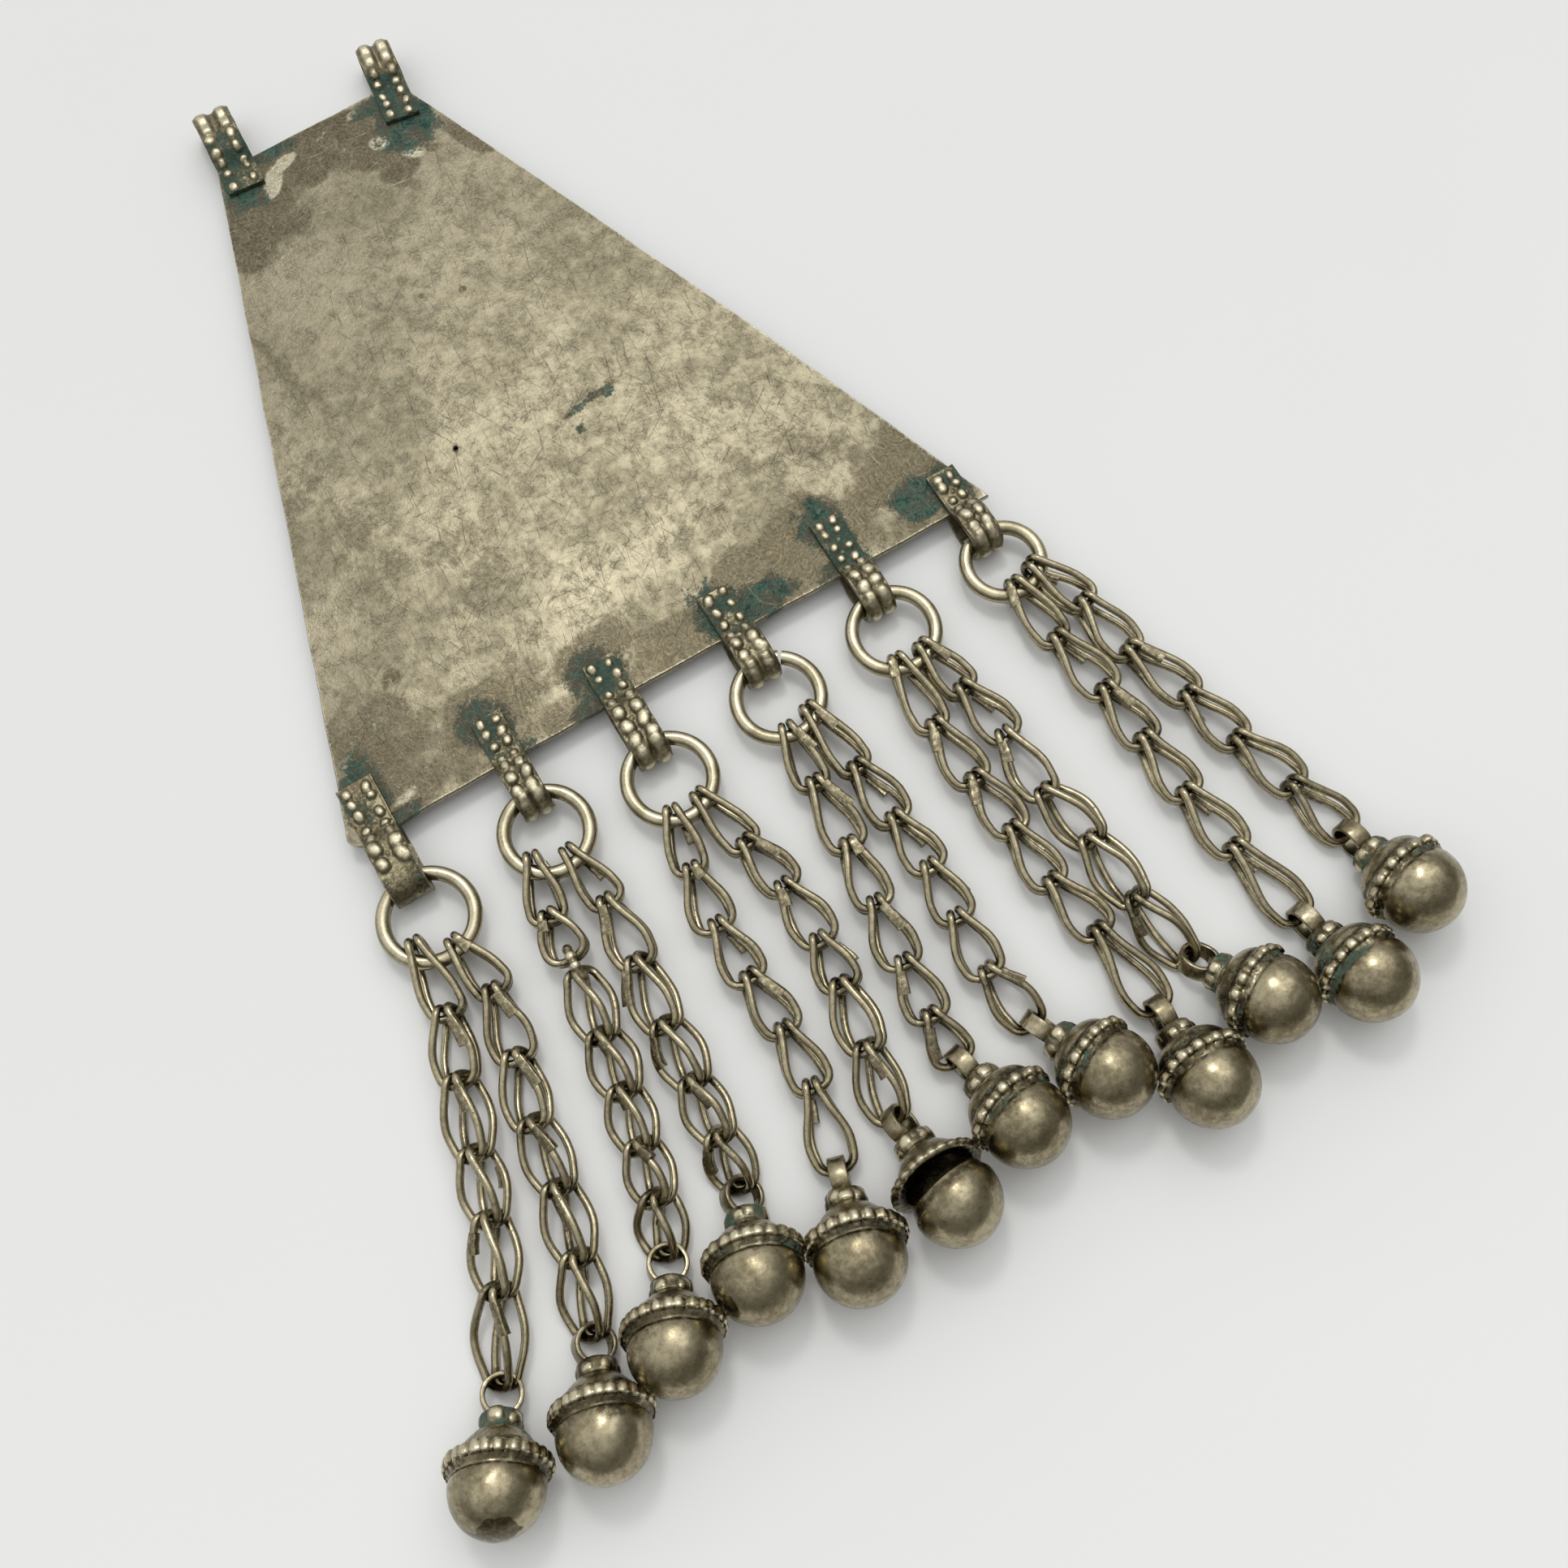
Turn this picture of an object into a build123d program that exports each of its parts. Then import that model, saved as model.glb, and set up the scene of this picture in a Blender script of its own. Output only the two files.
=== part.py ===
"""A folk pendant lying face down: a trapezoid silver plate with two bails, six hangers, six rings,
twelve chains of doubled wire links and twelve round bells."""
from build123d import *
from math import asin, atan2, cos, degrees, hypot, radians, sin, sqrt
import os

os.makedirs("parts", exist_ok=True)

# Lengths are millimetres. +X runs along the wide edge, +Y toward the bails, +Z up from the floor.
# Plate
PLATE_WIDE = 100.0
PLATE_NARROW = 30.6
PLATE_TALL = 106.2
PLATE_LEAN = -4.8
TOP_SLOPE = 0.5
PLATE_THICK = 1.0
RIGHT_BOW = 0.7
LOWER_BOW = 0.4
CORNER_CLIP = 1.6
EDGE_BREAK = 0.15
PINHOLE_D = 0.7
PINHOLE_AT = (-10.6, 45.6)

# Beaded strip, bent to a hairpin and soldered to both faces of the plate
STRIP_THICK = 0.8
EYE_HALF = 2.4
UNDER_LEG = 5.0
RAMP = 1.8
STRIP_BEAD_R = 0.85
STRIP_BEAD_SINK = 0.35
STRIP_BEAD_PITCH = 2.0
STRIP_BEAD_EDGE = 0.3

# Rings
RING_WIRE = 2.0
RING_LIFT = 0.2
RING_CLEAR = 0.26
RING_MOUTH = 0.5

# Chain links: one closed wire loop, folded so that its head stands double and its tail lies double
WIRE = 0.95
HEAD_CLEAR = 0.19
TAIL_CLEAR = 0.13
HOOK_CLEAR = 0.55
FLOOR_CLEAR = 0.13
ARCH = 2.5
TAIL_HALF = 2.1
BELLY = 2.5
BELLY_FIRST = 1.9
BELLY_AT = 0.66
BELLY_RISE = 0.25
HEAD_BEND = 1.3
SIDE_BEND = 3.0
TAIL_BEND = 1.7

# Tie: a thick wire loop that joins two links of one chain
TIE_CHAIN = 3
TIE_AFTER = 2
TIE_WIRE = 1.3
TIE_LONG = 6.2
TIE_TALL = 5.2
TIE_CLEAR = 0.48

# Bell: hollow ball and domed cap, joined at a beaded girdle, with a lumpy collar and a strip eye
BELL_R = 5.5
BELL_WALL = 0.6
GIRDLE_X = 2.1
GIRDLE_BEAD_R = 0.62
GIRDLE_BEADS = 26
FLANGE = 0.35
CAP_STEP = 0.25
CAP_BULGE = 0.45
NECK_X = 6.4
NECK_R = 2.7
COLLAR_LONG = 2.1
COLLAR_IN = 0.3
COLLAR_BEAD_R = 0.75
COLLAR_BEADS = 7
EYE_X = 10.8
EYE_R = 2.66
EYE_THICK = 0.6
EYE_WIDE = 2.2
EYE_CLEAR = 0.78
OPEN_BELL = 6
OPEN_ANGLE = 13.0
OPEN_TURN = 0.0

# Each hanger and its ring: nudge from the even pitch, leg on the plate, reach past the edge, strip width,
# whether beads run round the bend, then the ring's shift along the edge, its outer diameter and the
# direction of its open mouth in degrees, if it has one
HANGER_FIRST = -45.3
HANGER_PITCH = 18.25
HANGERS = [
    dict(nudge=0.0, leg=8.0, reach=9.9, wide=5.2, round_bend=False, shift=0.3, outer=14.0, mouth=None),
    dict(nudge=1.2, leg=7.3, reach=8.0, wide=4.5, round_bend=True, shift=-0.5, outer=13.4, mouth=None),
    dict(nudge=-0.2, leg=6.5, reach=9.9, wide=4.9, round_bend=True, shift=0.2, outer=13.6, mouth=None),
    dict(nudge=0.0, leg=7.1, reach=7.4, wide=4.9, round_bend=True, shift=0.0, outer=13.6, mouth=58),
    dict(nudge=0.4, leg=8.8, reach=7.3, wide=4.4, round_bend=True, shift=-0.2, outer=13.5, mouth=None),
    dict(nudge=-0.1, leg=6.4, reach=7.1, wide=4.3, round_bend=True, shift=0.5, outer=12.4, mouth=122),
]

# Each bail: place along the narrow edge from its middle, leg, reach, strip width and lean to the right
BAILS = [
    dict(along=-12.3, leg=5.2, reach=11.8, wide=5.7, lean=3.0),
    dict(along=14.1, leg=7.1, reach=9.8, wide=5.3, lean=7.0),
]

# Each chain: its ring, the head of each link and the middle of its bell from that ring's centre,
# the roll of each link in degrees and the bell's direction toward its eye
CHAINS = [
    dict(ring=1, heads=[(-3.1, -1.6), (-3.5, -11.5), (-6.0, -20.0), (-8.5, -29.0), (-10.5, -37.0), (-13.5, -45.0)],
         rolls=[0, 12, 30, 50, 66, 78], bell=(-23.5, -65.0), aim=64),
    dict(ring=1, heads=[(1.2, -4.0), (2.8, -12.0), (1.5, -21.0), (-0.5, -29.5), (-1.5, -38.0), (-3.5, -46.5)],
         rolls=[0, 5, 20, 36, 50, 62], bell=(-10.5, -66.0), aim=72),
    dict(ring=2, heads=[(-3.2, -1.6), (-5.0, -9.5), (-5.3, -18.4), (-6.5, -26.5), (-7.5, -34.0), (-9.0, -41.0),
                        (-10.3, -47.5)],
         rolls=[0, 8, 75, 80, 80, 80, 82], bell=(-17.0, -64.5), aim=68),
    dict(ring=2, heads=[(1.0, -3.2), (2.3, -11.5), (2.0, -20.5), (1.0, -29.5), (0.5, -37.5), (0.0, -44.9)],
         rolls=[0, 8, 24, 40, 50, 60], bell=(-4.5, -62.5), aim=72),
    dict(ring=3, heads=[(-1.8, -3.5), (-3.5, -11.5), (-4.5, -19.5), (-4.5, -27.5), (-4.0, -35.5), (-4.5, -43.5)],
         rolls=[5, 5, 0, -8, -5, 5], bell=(-10.5, -65.0), aim=72),
    dict(ring=3, heads=[(1.9, -3.4), (4.0, -12.0), (5.5, -19.5), (6.0, -28.0), (5.5, -34.5), (4.0, -43.0)],
         rolls=[0, -5, 5, 10, 20, 30], bell=(2.7, -64.0), aim=92),
    dict(ring=4, heads=[(-1.2, -3.8), (-2.0, -12.0), (-2.5, -21.5), (-3.5, -30.0), (-4.5, -38.5), (-5.3, -46.0)],
         rolls=[5, 0, -5, 5, 5, 0], bell=(-3.0, -64.0), aim=102),
    dict(ring=4, heads=[(2.4, -2.9), (3.8, -13.0), (4.5, -21.5), (5.0, -29.5), (4.5, -37.0), (4.0, -45.0)],
         rolls=[0, -5, 0, 5, 10, 18], bell=(9.3, -64.5), aim=110),
    dict(ring=5, heads=[(-2.0, -3.2), (-2.5, -13.5), (-2.0, -22.5), (-1.5, -31.0), (-1.0, -39.5), (0.5, -48.0)],
         rolls=[0, 0, -5, 0, 5, 0], bell=(1.0, -72.0), aim=88),
    dict(ring=5, heads=[(1.8, -3.3), (3.5, -11.0), (5.0, -19.5), (5.0, -29.0), (6.5, -37.5), (7.0, -47.0)],
         rolls=[0, 5, 18, 32, 44, 56], bell=(13.5, -67.5), aim=114),
    dict(ring=6, heads=[(-0.8, -3.0), (0.0, -12.5), (1.5, -22.0), (2.0, -30.5), (2.5, -39.5), (3.5, -49.0)],
         rolls=[5, 5, 0, 0, 5, 0], bell=(7.0, -72.5), aim=97),
    dict(ring=6, heads=[(2.6, -1.9), (6.0, -10.0), (7.5, -19.0), (10.5, -28.5), (12.5, -37.0), (15.0, -46.0)],
         rolls=[0, -5, 0, 5, 5, 0], bell=(19.0, -66.5), aim=98),
]

plate_mid_z = EYE_HALF + STRIP_THICK / 2
plate_back_z = plate_mid_z + PLATE_THICK / 2
leg_rise = (PLATE_THICK + STRIP_THICK) / 2
ring_z = plate_mid_z + RING_LIFT
chain_z = ARCH + WIRE / 2 + FLOOR_CLEAR
head_half = (WIRE + HEAD_CLEAR) / 2
tail_rise = (WIRE + TAIL_CLEAR) / 2
hook = WIRE + HOOK_CLEAR
bend_r = EYE_HALF - 0.01
eye_mid = EYE_R - EYE_THICK / 2
tail_in = (EYE_THICK + WIRE) / 2 + EYE_CLEAR
tie_hook = (TIE_WIRE + WIRE) / 2 + TIE_CLEAR

# The bell hangs from the chain at its eye and rests on its girdle, which sets its tilt
girdle_r = sqrt(BELL_R**2 - GIRDLE_X**2) + FLANGE
to_girdle = EYE_X + eye_mid - GIRDLE_X
girdle_out = girdle_r + GIRDLE_BEAD_R
bell_tilt = degrees(
    atan2(girdle_out, to_girdle) - asin((chain_z - FLOOR_CLEAR) / hypot(to_girdle, girdle_out))
)


def level(angle):
    """Unit vector in the floor plane."""
    return Vector(cos(radians(angle)), sin(radians(angle)), 0)


def rolled(origin, along, roll):
    """Plane with its X along the given direction, turned about it by the roll."""
    side = Vector(0, 0, 1).cross(along).normalized()
    up = along.cross(side)
    return Plane(origin=origin, x_dir=along, z_dir=up * cos(radians(roll)) - side * sin(radians(roll)))


def strip(edge_point, outward, leg, reach, wide, round_bend=True):
    """Adds a hairpin of strip at the plate's edge, with two rows of worn beads on its back."""
    far = reach - STRIP_THICK / 2
    plane = Plane(origin=edge_point, x_dir=outward, z_dir=outward.cross(Vector(0, 0, 1)))
    with BuildLine() as flat:
        FilletPolyline(
            (-leg, leg_rise), (-0.5, leg_rise), (RAMP, EYE_HALF), (far, EYE_HALF),
            (far, -EYE_HALF), (RAMP, -EYE_HALF), (-0.5, -leg_rise), (-UNDER_LEG, -leg_rise),
            radius=[RAMP, RAMP, bend_r, bend_r, RAMP, RAMP],
        )
    with BuildSketch(plane) as profile:
        trace(flat.line, line_width=STRIP_THICK)
    extrude(profile.sketch, amount=wide / 2, both=True)
    route = flat.wires()[0]
    beaded = leg + far + (EYE_HALF if round_bend else -EYE_HALF * 1.5)
    rows = round(beaded / STRIP_BEAD_PITCH)
    across = wide / 2 - STRIP_BEAD_R - STRIP_BEAD_EDGE
    spots = []
    for n in range(rows):
        share = (n + 0.5) * beaded / rows / route.length
        point = route @ share
        run = route % share
        rise = STRIP_THICK / 2 - STRIP_BEAD_SINK
        spot = plane.from_local_coords(Vector(point.X - run.Y * rise, point.Y + run.X * rise, 0))
        spots += [spot + plane.z_dir * across, spot - plane.z_dir * across]
    with Locations(*spots):
        Sphere(STRIP_BEAD_R)


def wire_loop(plane, points, radii, wire):
    """Adds a round wire bent along a closed route of straight runs and tangent arcs."""
    with BuildLine(plane) as route:
        FilletPolyline(*points, radius=radii, close=True)
    loop = route.wires()[0]
    with BuildSketch(Plane(origin=loop @ 0, z_dir=loop % 0)) as section:
        Circle(wire / 2)
    sweep(section.sketch, path=loop)


def link(plane, long, belly):
    """Adds one link, its head at the plane's origin and its tail the given length along X."""
    belly_z = tail_rise + (ARCH - tail_rise) * BELLY_RISE
    belly_x = BELLY_AT * long
    over = [
        (0, head_half, ARCH), (belly_x, belly, belly_z), (long, TAIL_HALF, tail_rise),
        (long, -TAIL_HALF, tail_rise), (belly_x, -belly, belly_z), (0, -head_half, ARCH),
    ]
    under = [(x, y, -z) for x, y, z in reversed(over)]
    radii = [HEAD_BEND, SIDE_BEND, TAIL_BEND, TAIL_BEND, SIDE_BEND, HEAD_BEND]
    wire_loop(plane, over + under, radii * 2, WIRE)


def tie(plane):
    """Adds the thick loop, upright, its near bar at the plane's origin."""
    far = TIE_LONG - TIE_WIRE
    high = (TIE_TALL - TIE_WIRE) / 2
    corners = [(0, 0, high), (far, 0, high), (far, 0, -high), (0, 0, -high)]
    wire_loop(plane, corners, [high - 0.01] * 4, TIE_WIRE)


def half_profile(inset, low_x, high_x):
    """Draws the bell's half outline, inset from its outer face, between two stations of its axis."""
    ball = BELL_R - inset
    seam_r = sqrt(ball**2 - GIRDLE_X**2)
    cap_r = seam_r + CAP_STEP
    with BuildLine() as half:
        if low_x < GIRDLE_X:
            seam_angle = degrees(atan2(seam_r, GIRDLE_X))
            CenterArc((0, 0), ball, seam_angle, 180 - seam_angle)
            Line((-ball, 0), (GIRDLE_X, 0))
            Line((GIRDLE_X, 0), (GIRDLE_X, seam_r))
        else:
            SagittaArc((GIRDLE_X, cap_r), (NECK_X - inset, NECK_R - inset), -CAP_BULGE)
            Line((NECK_X - inset, NECK_R - inset), (NECK_X - inset, 0))
            Line((NECK_X - inset, 0), (GIRDLE_X, 0))
            Line((GIRDLE_X, 0), (GIRDLE_X, cap_r))
    make_face(half.edges())


def cup(mode=Mode.ADD, inset=0.0):
    """Adds or cuts the ball side of the bell."""
    with BuildSketch(Plane.XY) as side:
        half_profile(inset, -BELL_R, GIRDLE_X)
    revolve(side.sketch, axis=Axis.X, mode=mode)


def cap(mode=Mode.ADD, inset=0.0):
    """Adds or cuts the domed side of the bell."""
    with BuildSketch(Plane.XY) as side:
        half_profile(inset, GIRDLE_X, NECK_X)
    revolve(side.sketch, axis=Axis.X, mode=mode)


def band(start, end, radius):
    """Adds a plain round band about the bell's axis."""
    with BuildSketch(Plane.XY) as side:
        with BuildLine():
            Polyline((start, 0), (start, radius), (end, radius), (end, 0), close=True)
        make_face()
    revolve(side.sketch, axis=Axis.X)


def girdle_and_eye():
    """Adds the beads of the girdle, the collar with its lumps and the strip eye."""
    with Locations(Plane.YZ.offset(GIRDLE_X + FLANGE / 2)):
        with PolarLocations(girdle_r, GIRDLE_BEADS):
            Sphere(GIRDLE_BEAD_R)
    band(NECK_X - BELL_WALL, NECK_X + COLLAR_LONG, NECK_R - COLLAR_IN)
    with Locations(Plane.YZ.offset(NECK_X + COLLAR_LONG / 2)):
        with PolarLocations(NECK_R - COLLAR_IN, COLLAR_BEADS):
            Sphere(COLLAR_BEAD_R)
    with BuildSketch(Plane.XZ) as eye:
        with Locations((EYE_X, 0)):
            Circle(EYE_R)
            Circle(EYE_R - EYE_THICK, mode=Mode.SUBTRACT)
    extrude(eye.sketch, amount=EYE_WIDE / 2, both=True)


# Plate with its bails and hangers
half_wide = PLATE_WIDE / 2
half_narrow = PLATE_NARROW / 2
lower_left = (-half_wide, 0)
lower_right = (half_wide, 0)
upper_right = (PLATE_LEAN + half_narrow, PLATE_TALL + TOP_SLOPE)
upper_left = (PLATE_LEAN - half_narrow, PLATE_TALL - TOP_SLOPE)
with BuildPart() as plate:
    with BuildSketch(Plane.XY.offset(plate_mid_z)) as outline:
        with BuildLine():
            SagittaArc(lower_left, lower_right, LOWER_BOW)
            SagittaArc(lower_right, upper_right, -RIGHT_BOW)
            Line(upper_right, upper_left)
            Line(upper_left, lower_left)
        make_face()
        chamfer(outline.vertices().group_by(Axis.Y)[0].sort_by(Axis.X)[0], CORNER_CLIP)
    extrude(amount=PLATE_THICK / 2, both=True)
    chamfer(plate.faces().sort_by(Axis.Z)[-1].edges(), EDGE_BREAK)
    with Locations((*PINHOLE_AT, plate_back_z)):
        Hole(PINHOLE_D / 2)
    for number, row in enumerate(HANGERS):
        hanger_x = HANGER_FIRST + HANGER_PITCH * number + row["nudge"]
        strip(Vector(hanger_x, 0, plate_mid_z), Vector(0, -1, 0), row["leg"], row["reach"], row["wide"],
              row["round_bend"])
    for row in BAILS:
        edge_y = PLATE_TALL + TOP_SLOPE * row["along"] / half_narrow
        strip(Vector(PLATE_LEAN + row["along"], edge_y, plate_mid_z), level(90 - row["lean"]), row["leg"],
              row["reach"], row["wide"])

pieces = {"plate": plate.part}
ring_centres = {}

# Rings, which lie level through the hangers' eyes and hang against their bends
for number, row in enumerate(HANGERS, 1):
    ring_r = (row["outer"] - RING_WIRE) / 2
    bend_mid = row["reach"] - STRIP_THICK / 2 - bend_r
    play = sqrt((bend_r - STRIP_THICK / 2 - RING_WIRE / 2 - RING_CLEAR)**2 - RING_LIFT**2)
    hung = bend_mid + play + sqrt(ring_r**2 - (row["wide"] / 2 + abs(row["shift"]))**2)
    hanger_x = HANGER_FIRST + HANGER_PITCH * (number - 1) + row["nudge"]
    centre = Vector(hanger_x + row["shift"], -hung, ring_z)
    ring_centres[number] = Vector(centre.X, centre.Y, 0)
    mouth_angle = 0 if row["mouth"] is None else degrees(RING_MOUTH / ring_r)
    start = level((row["mouth"] or 0) + mouth_angle / 2)
    with BuildPart() as ring:
        with BuildSketch(Plane(origin=centre + start * ring_r, x_dir=start, z_dir=Vector(0, 0, 1).cross(start))):
            Circle(RING_WIRE / 2)
        revolve(axis=Axis(centre, (0, 0, 1)), revolution_arc=360 - mouth_angle)
    pieces[f"ring_{number}"] = ring.part

# Bells, made once about their own axis: the ball's middle at the origin and the eye along +X
with BuildPart() as closed_bell:
    cup()
    band(GIRDLE_X - FLANGE, GIRDLE_X, girdle_r)
    cap()
    cup(Mode.SUBTRACT, BELL_WALL)
    cap(Mode.SUBTRACT, BELL_WALL)
    girdle_and_eye()

with BuildPart() as open_cap:
    cap()
    band(GIRDLE_X, GIRDLE_X + FLANGE, girdle_r)
    cap(Mode.SUBTRACT, BELL_WALL)
    girdle_and_eye()

with BuildPart() as open_cup:
    cup()
    cup(Mode.SUBTRACT, BELL_WALL)

# The open bell's seam has sprung: its ball is swung about the low side of the girdle
hinge = Axis((GIRDLE_X, 0, -girdle_r + BELL_WALL), (0, 1, 0))
with BuildPart() as open_bell:
    add(open_cap.part)
    add(open_cup.part.rotate(hinge, -OPEN_ANGLE).rotate(Axis.X, OPEN_TURN))

# Chains, each with its bell at the end
for number, row in enumerate(CHAINS, 1):
    ring_centre = ring_centres[row["ring"]]
    heads = [ring_centre + Vector(x, y, chain_z) for x, y in row["heads"]]
    back = level(row["aim"])
    ball_plan = ring_centre + Vector(*row["bell"], chain_z)
    eye_end = ball_plan + back * ((EYE_X + eye_mid) * cos(radians(bell_tilt)))
    stops = heads + [eye_end]
    with BuildPart() as chain:
        for n, head in enumerate(heads):
            target = stops[n + 1]
            extra = tail_in
            if n + 1 < len(heads):
                ahead = (stops[n + 2] - target).normalized()
                target = target - ahead * (TAIL_HALF - hook)
                extra = TAIL_HALF
            if number == TIE_CHAIN and n + 1 == TIE_AFTER:
                target = stops[n + 1]
                extra = 2 * tie_hook - (TIE_LONG - TIE_WIRE)
            along = (target - head).normalized()
            long = (target - head).length + extra
            link(rolled(head, along, row["rolls"][n]), long, BELLY_FIRST if n == 0 else BELLY)
            if number == TIE_CHAIN and n + 1 == TIE_AFTER:
                tie(rolled(head + along * (long - tie_hook), along, 0))
    pieces[f"chain_{number}"] = chain.part
    down = (back * -cos(radians(bell_tilt)) + Vector(0, 0, sin(radians(bell_tilt)))).normalized()
    hang = rolled(eye_end + down * (EYE_X + eye_mid), down, row["rolls"][-1])
    seat = Plane(origin=hang.origin, x_dir=hang.x_dir * -1, z_dir=hang.z_dir)
    with BuildPart() as bell:
        with Locations(Location(seat)):
            add(open_bell.part if number == OPEN_BELL else closed_bell.part)
    pieces[f"bell_{number}"] = bell.part

# The origin is the middle of the whole pendant's footprint, on the floor
boxes = [piece.bounding_box() for piece in pieces.values()]
low = [min(box.min.X for box in boxes), min(box.min.Y for box in boxes), min(box.min.Z for box in boxes)]
high = [max(box.max.X for box in boxes), max(box.max.Y for box in boxes), max(box.max.Z for box in boxes)]
middle = Vector((low[0] + high[0]) / 2, (low[1] + high[1]) / 2, low[2])
print("origin in the plate's frame", [round(v, 3) for v in middle], "low", low, "high", high)
for name, piece in pieces.items():
    placed = piece.moved(Location(middle * -1))
    placed.label = name
    export_step(placed, f"parts/{name}.step")
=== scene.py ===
"""A folk pendant seen from its back: a worn silver plate with two bails, six beaded hangers, six rings,
twelve chains of doubled wire links and twelve round bells, lying on a pale floor."""
from math import atan2, cos, pi, radians, sin, sqrt, tan

import bpy
import numpy as np
from mathutils import Matrix, Vector


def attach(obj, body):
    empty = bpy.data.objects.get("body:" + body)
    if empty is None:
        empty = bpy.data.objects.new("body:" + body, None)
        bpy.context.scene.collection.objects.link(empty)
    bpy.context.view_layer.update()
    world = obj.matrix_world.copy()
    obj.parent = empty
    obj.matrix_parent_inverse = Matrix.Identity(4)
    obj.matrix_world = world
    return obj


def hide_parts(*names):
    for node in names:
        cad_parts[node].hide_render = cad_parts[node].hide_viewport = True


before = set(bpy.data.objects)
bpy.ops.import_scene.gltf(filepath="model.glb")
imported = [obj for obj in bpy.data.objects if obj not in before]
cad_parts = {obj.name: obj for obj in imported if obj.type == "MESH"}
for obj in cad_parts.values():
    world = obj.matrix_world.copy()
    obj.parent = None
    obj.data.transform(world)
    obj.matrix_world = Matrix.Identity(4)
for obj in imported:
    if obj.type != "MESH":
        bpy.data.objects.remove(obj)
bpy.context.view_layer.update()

MM = 0.001
# The shared frame's origin, in the plate's own frame, in millimetres
ORIGIN = np.array((-1.478, 15.107, -0.023))

# The same named values as the pendant's solids, in millimetres
PLATE_WIDE, PLATE_NARROW, PLATE_TALL, PLATE_LEAN, TOP_SLOPE = 100.0, 30.6, 106.2, -4.8, 0.5
PLATE_THICK, RIGHT_BOW, LOWER_BOW, CORNER_CLIP = 1.0, 0.7, 0.4, 1.6
PINHOLE_D, PINHOLE_AT = 0.7, (-10.6, 45.6)
STRIP_THICK, EYE_HALF, UNDER_LEG, RAMP = 0.8, 2.4, 5.0, 1.8
RING_WIRE, RING_LIFT, RING_CLEAR, RING_MOUTH = 2.0, 0.2, 0.26, 0.5
WIRE, HEAD_CLEAR, TAIL_CLEAR, HOOK_CLEAR, FLOOR_CLEAR = 0.95, 0.19, 0.13, 0.55, 0.13
ARCH, TAIL_HALF, BELLY, BELLY_FIRST, BELLY_AT = 2.5, 2.1, 2.5, 1.9, 0.66
TIE_CHAIN, TIE_AFTER, TIE_WIRE, TIE_LONG, TIE_TALL, TIE_CLEAR = 3, 2, 1.3, 6.2, 5.2, 0.48
BELL_R, BELL_WALL, GIRDLE_X, FLANGE, CAP_STEP, CAP_BULGE = 5.5, 0.6, 2.1, 0.35, 0.25, 0.45
NECK_X, NECK_R, COLLAR_LONG, COLLAR_IN = 6.4, 2.7, 2.1, 0.3
EYE_X, EYE_R, EYE_THICK, EYE_WIDE, EYE_CLEAR = 10.8, 2.66, 0.6, 2.2, 0.78
OPEN_BELL, OPEN_ANGLE = 6, 13.0
HANGER_FIRST, HANGER_PITCH = -45.3, 18.25
HANGERS = [
    dict(nudge=0.0, leg=8.0, reach=9.9, wide=5.2, round_bend=False, shift=0.3, outer=14.0, mouth=None, green=0.15),
    dict(nudge=1.2, leg=7.3, reach=8.0, wide=4.5, round_bend=True, shift=-0.5, outer=13.4, mouth=None, green=0.38),
    dict(nudge=-0.2, leg=6.5, reach=9.9, wide=4.9, round_bend=True, shift=0.2, outer=13.6, mouth=None, green=0.4),
    dict(nudge=0.0, leg=7.1, reach=7.4, wide=4.9, round_bend=True, shift=0.0, outer=13.6, mouth=58, green=0.4),
    dict(nudge=0.4, leg=8.8, reach=7.3, wide=4.4, round_bend=True, shift=-0.2, outer=13.5, mouth=None, green=0.55),
    dict(nudge=-0.1, leg=6.4, reach=7.1, wide=4.3, round_bend=True, shift=0.5, outer=12.4, mouth=122, green=0.3),
]
BAILS = [
    dict(side="left", along=-12.3, leg=5.2, reach=9.9, wide=5.7, lean=3.0, green=0.5),
    dict(side="right", along=14.1, leg=7.1, reach=7.3, wide=5.3, lean=7.0, green=0.5),
]
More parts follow.
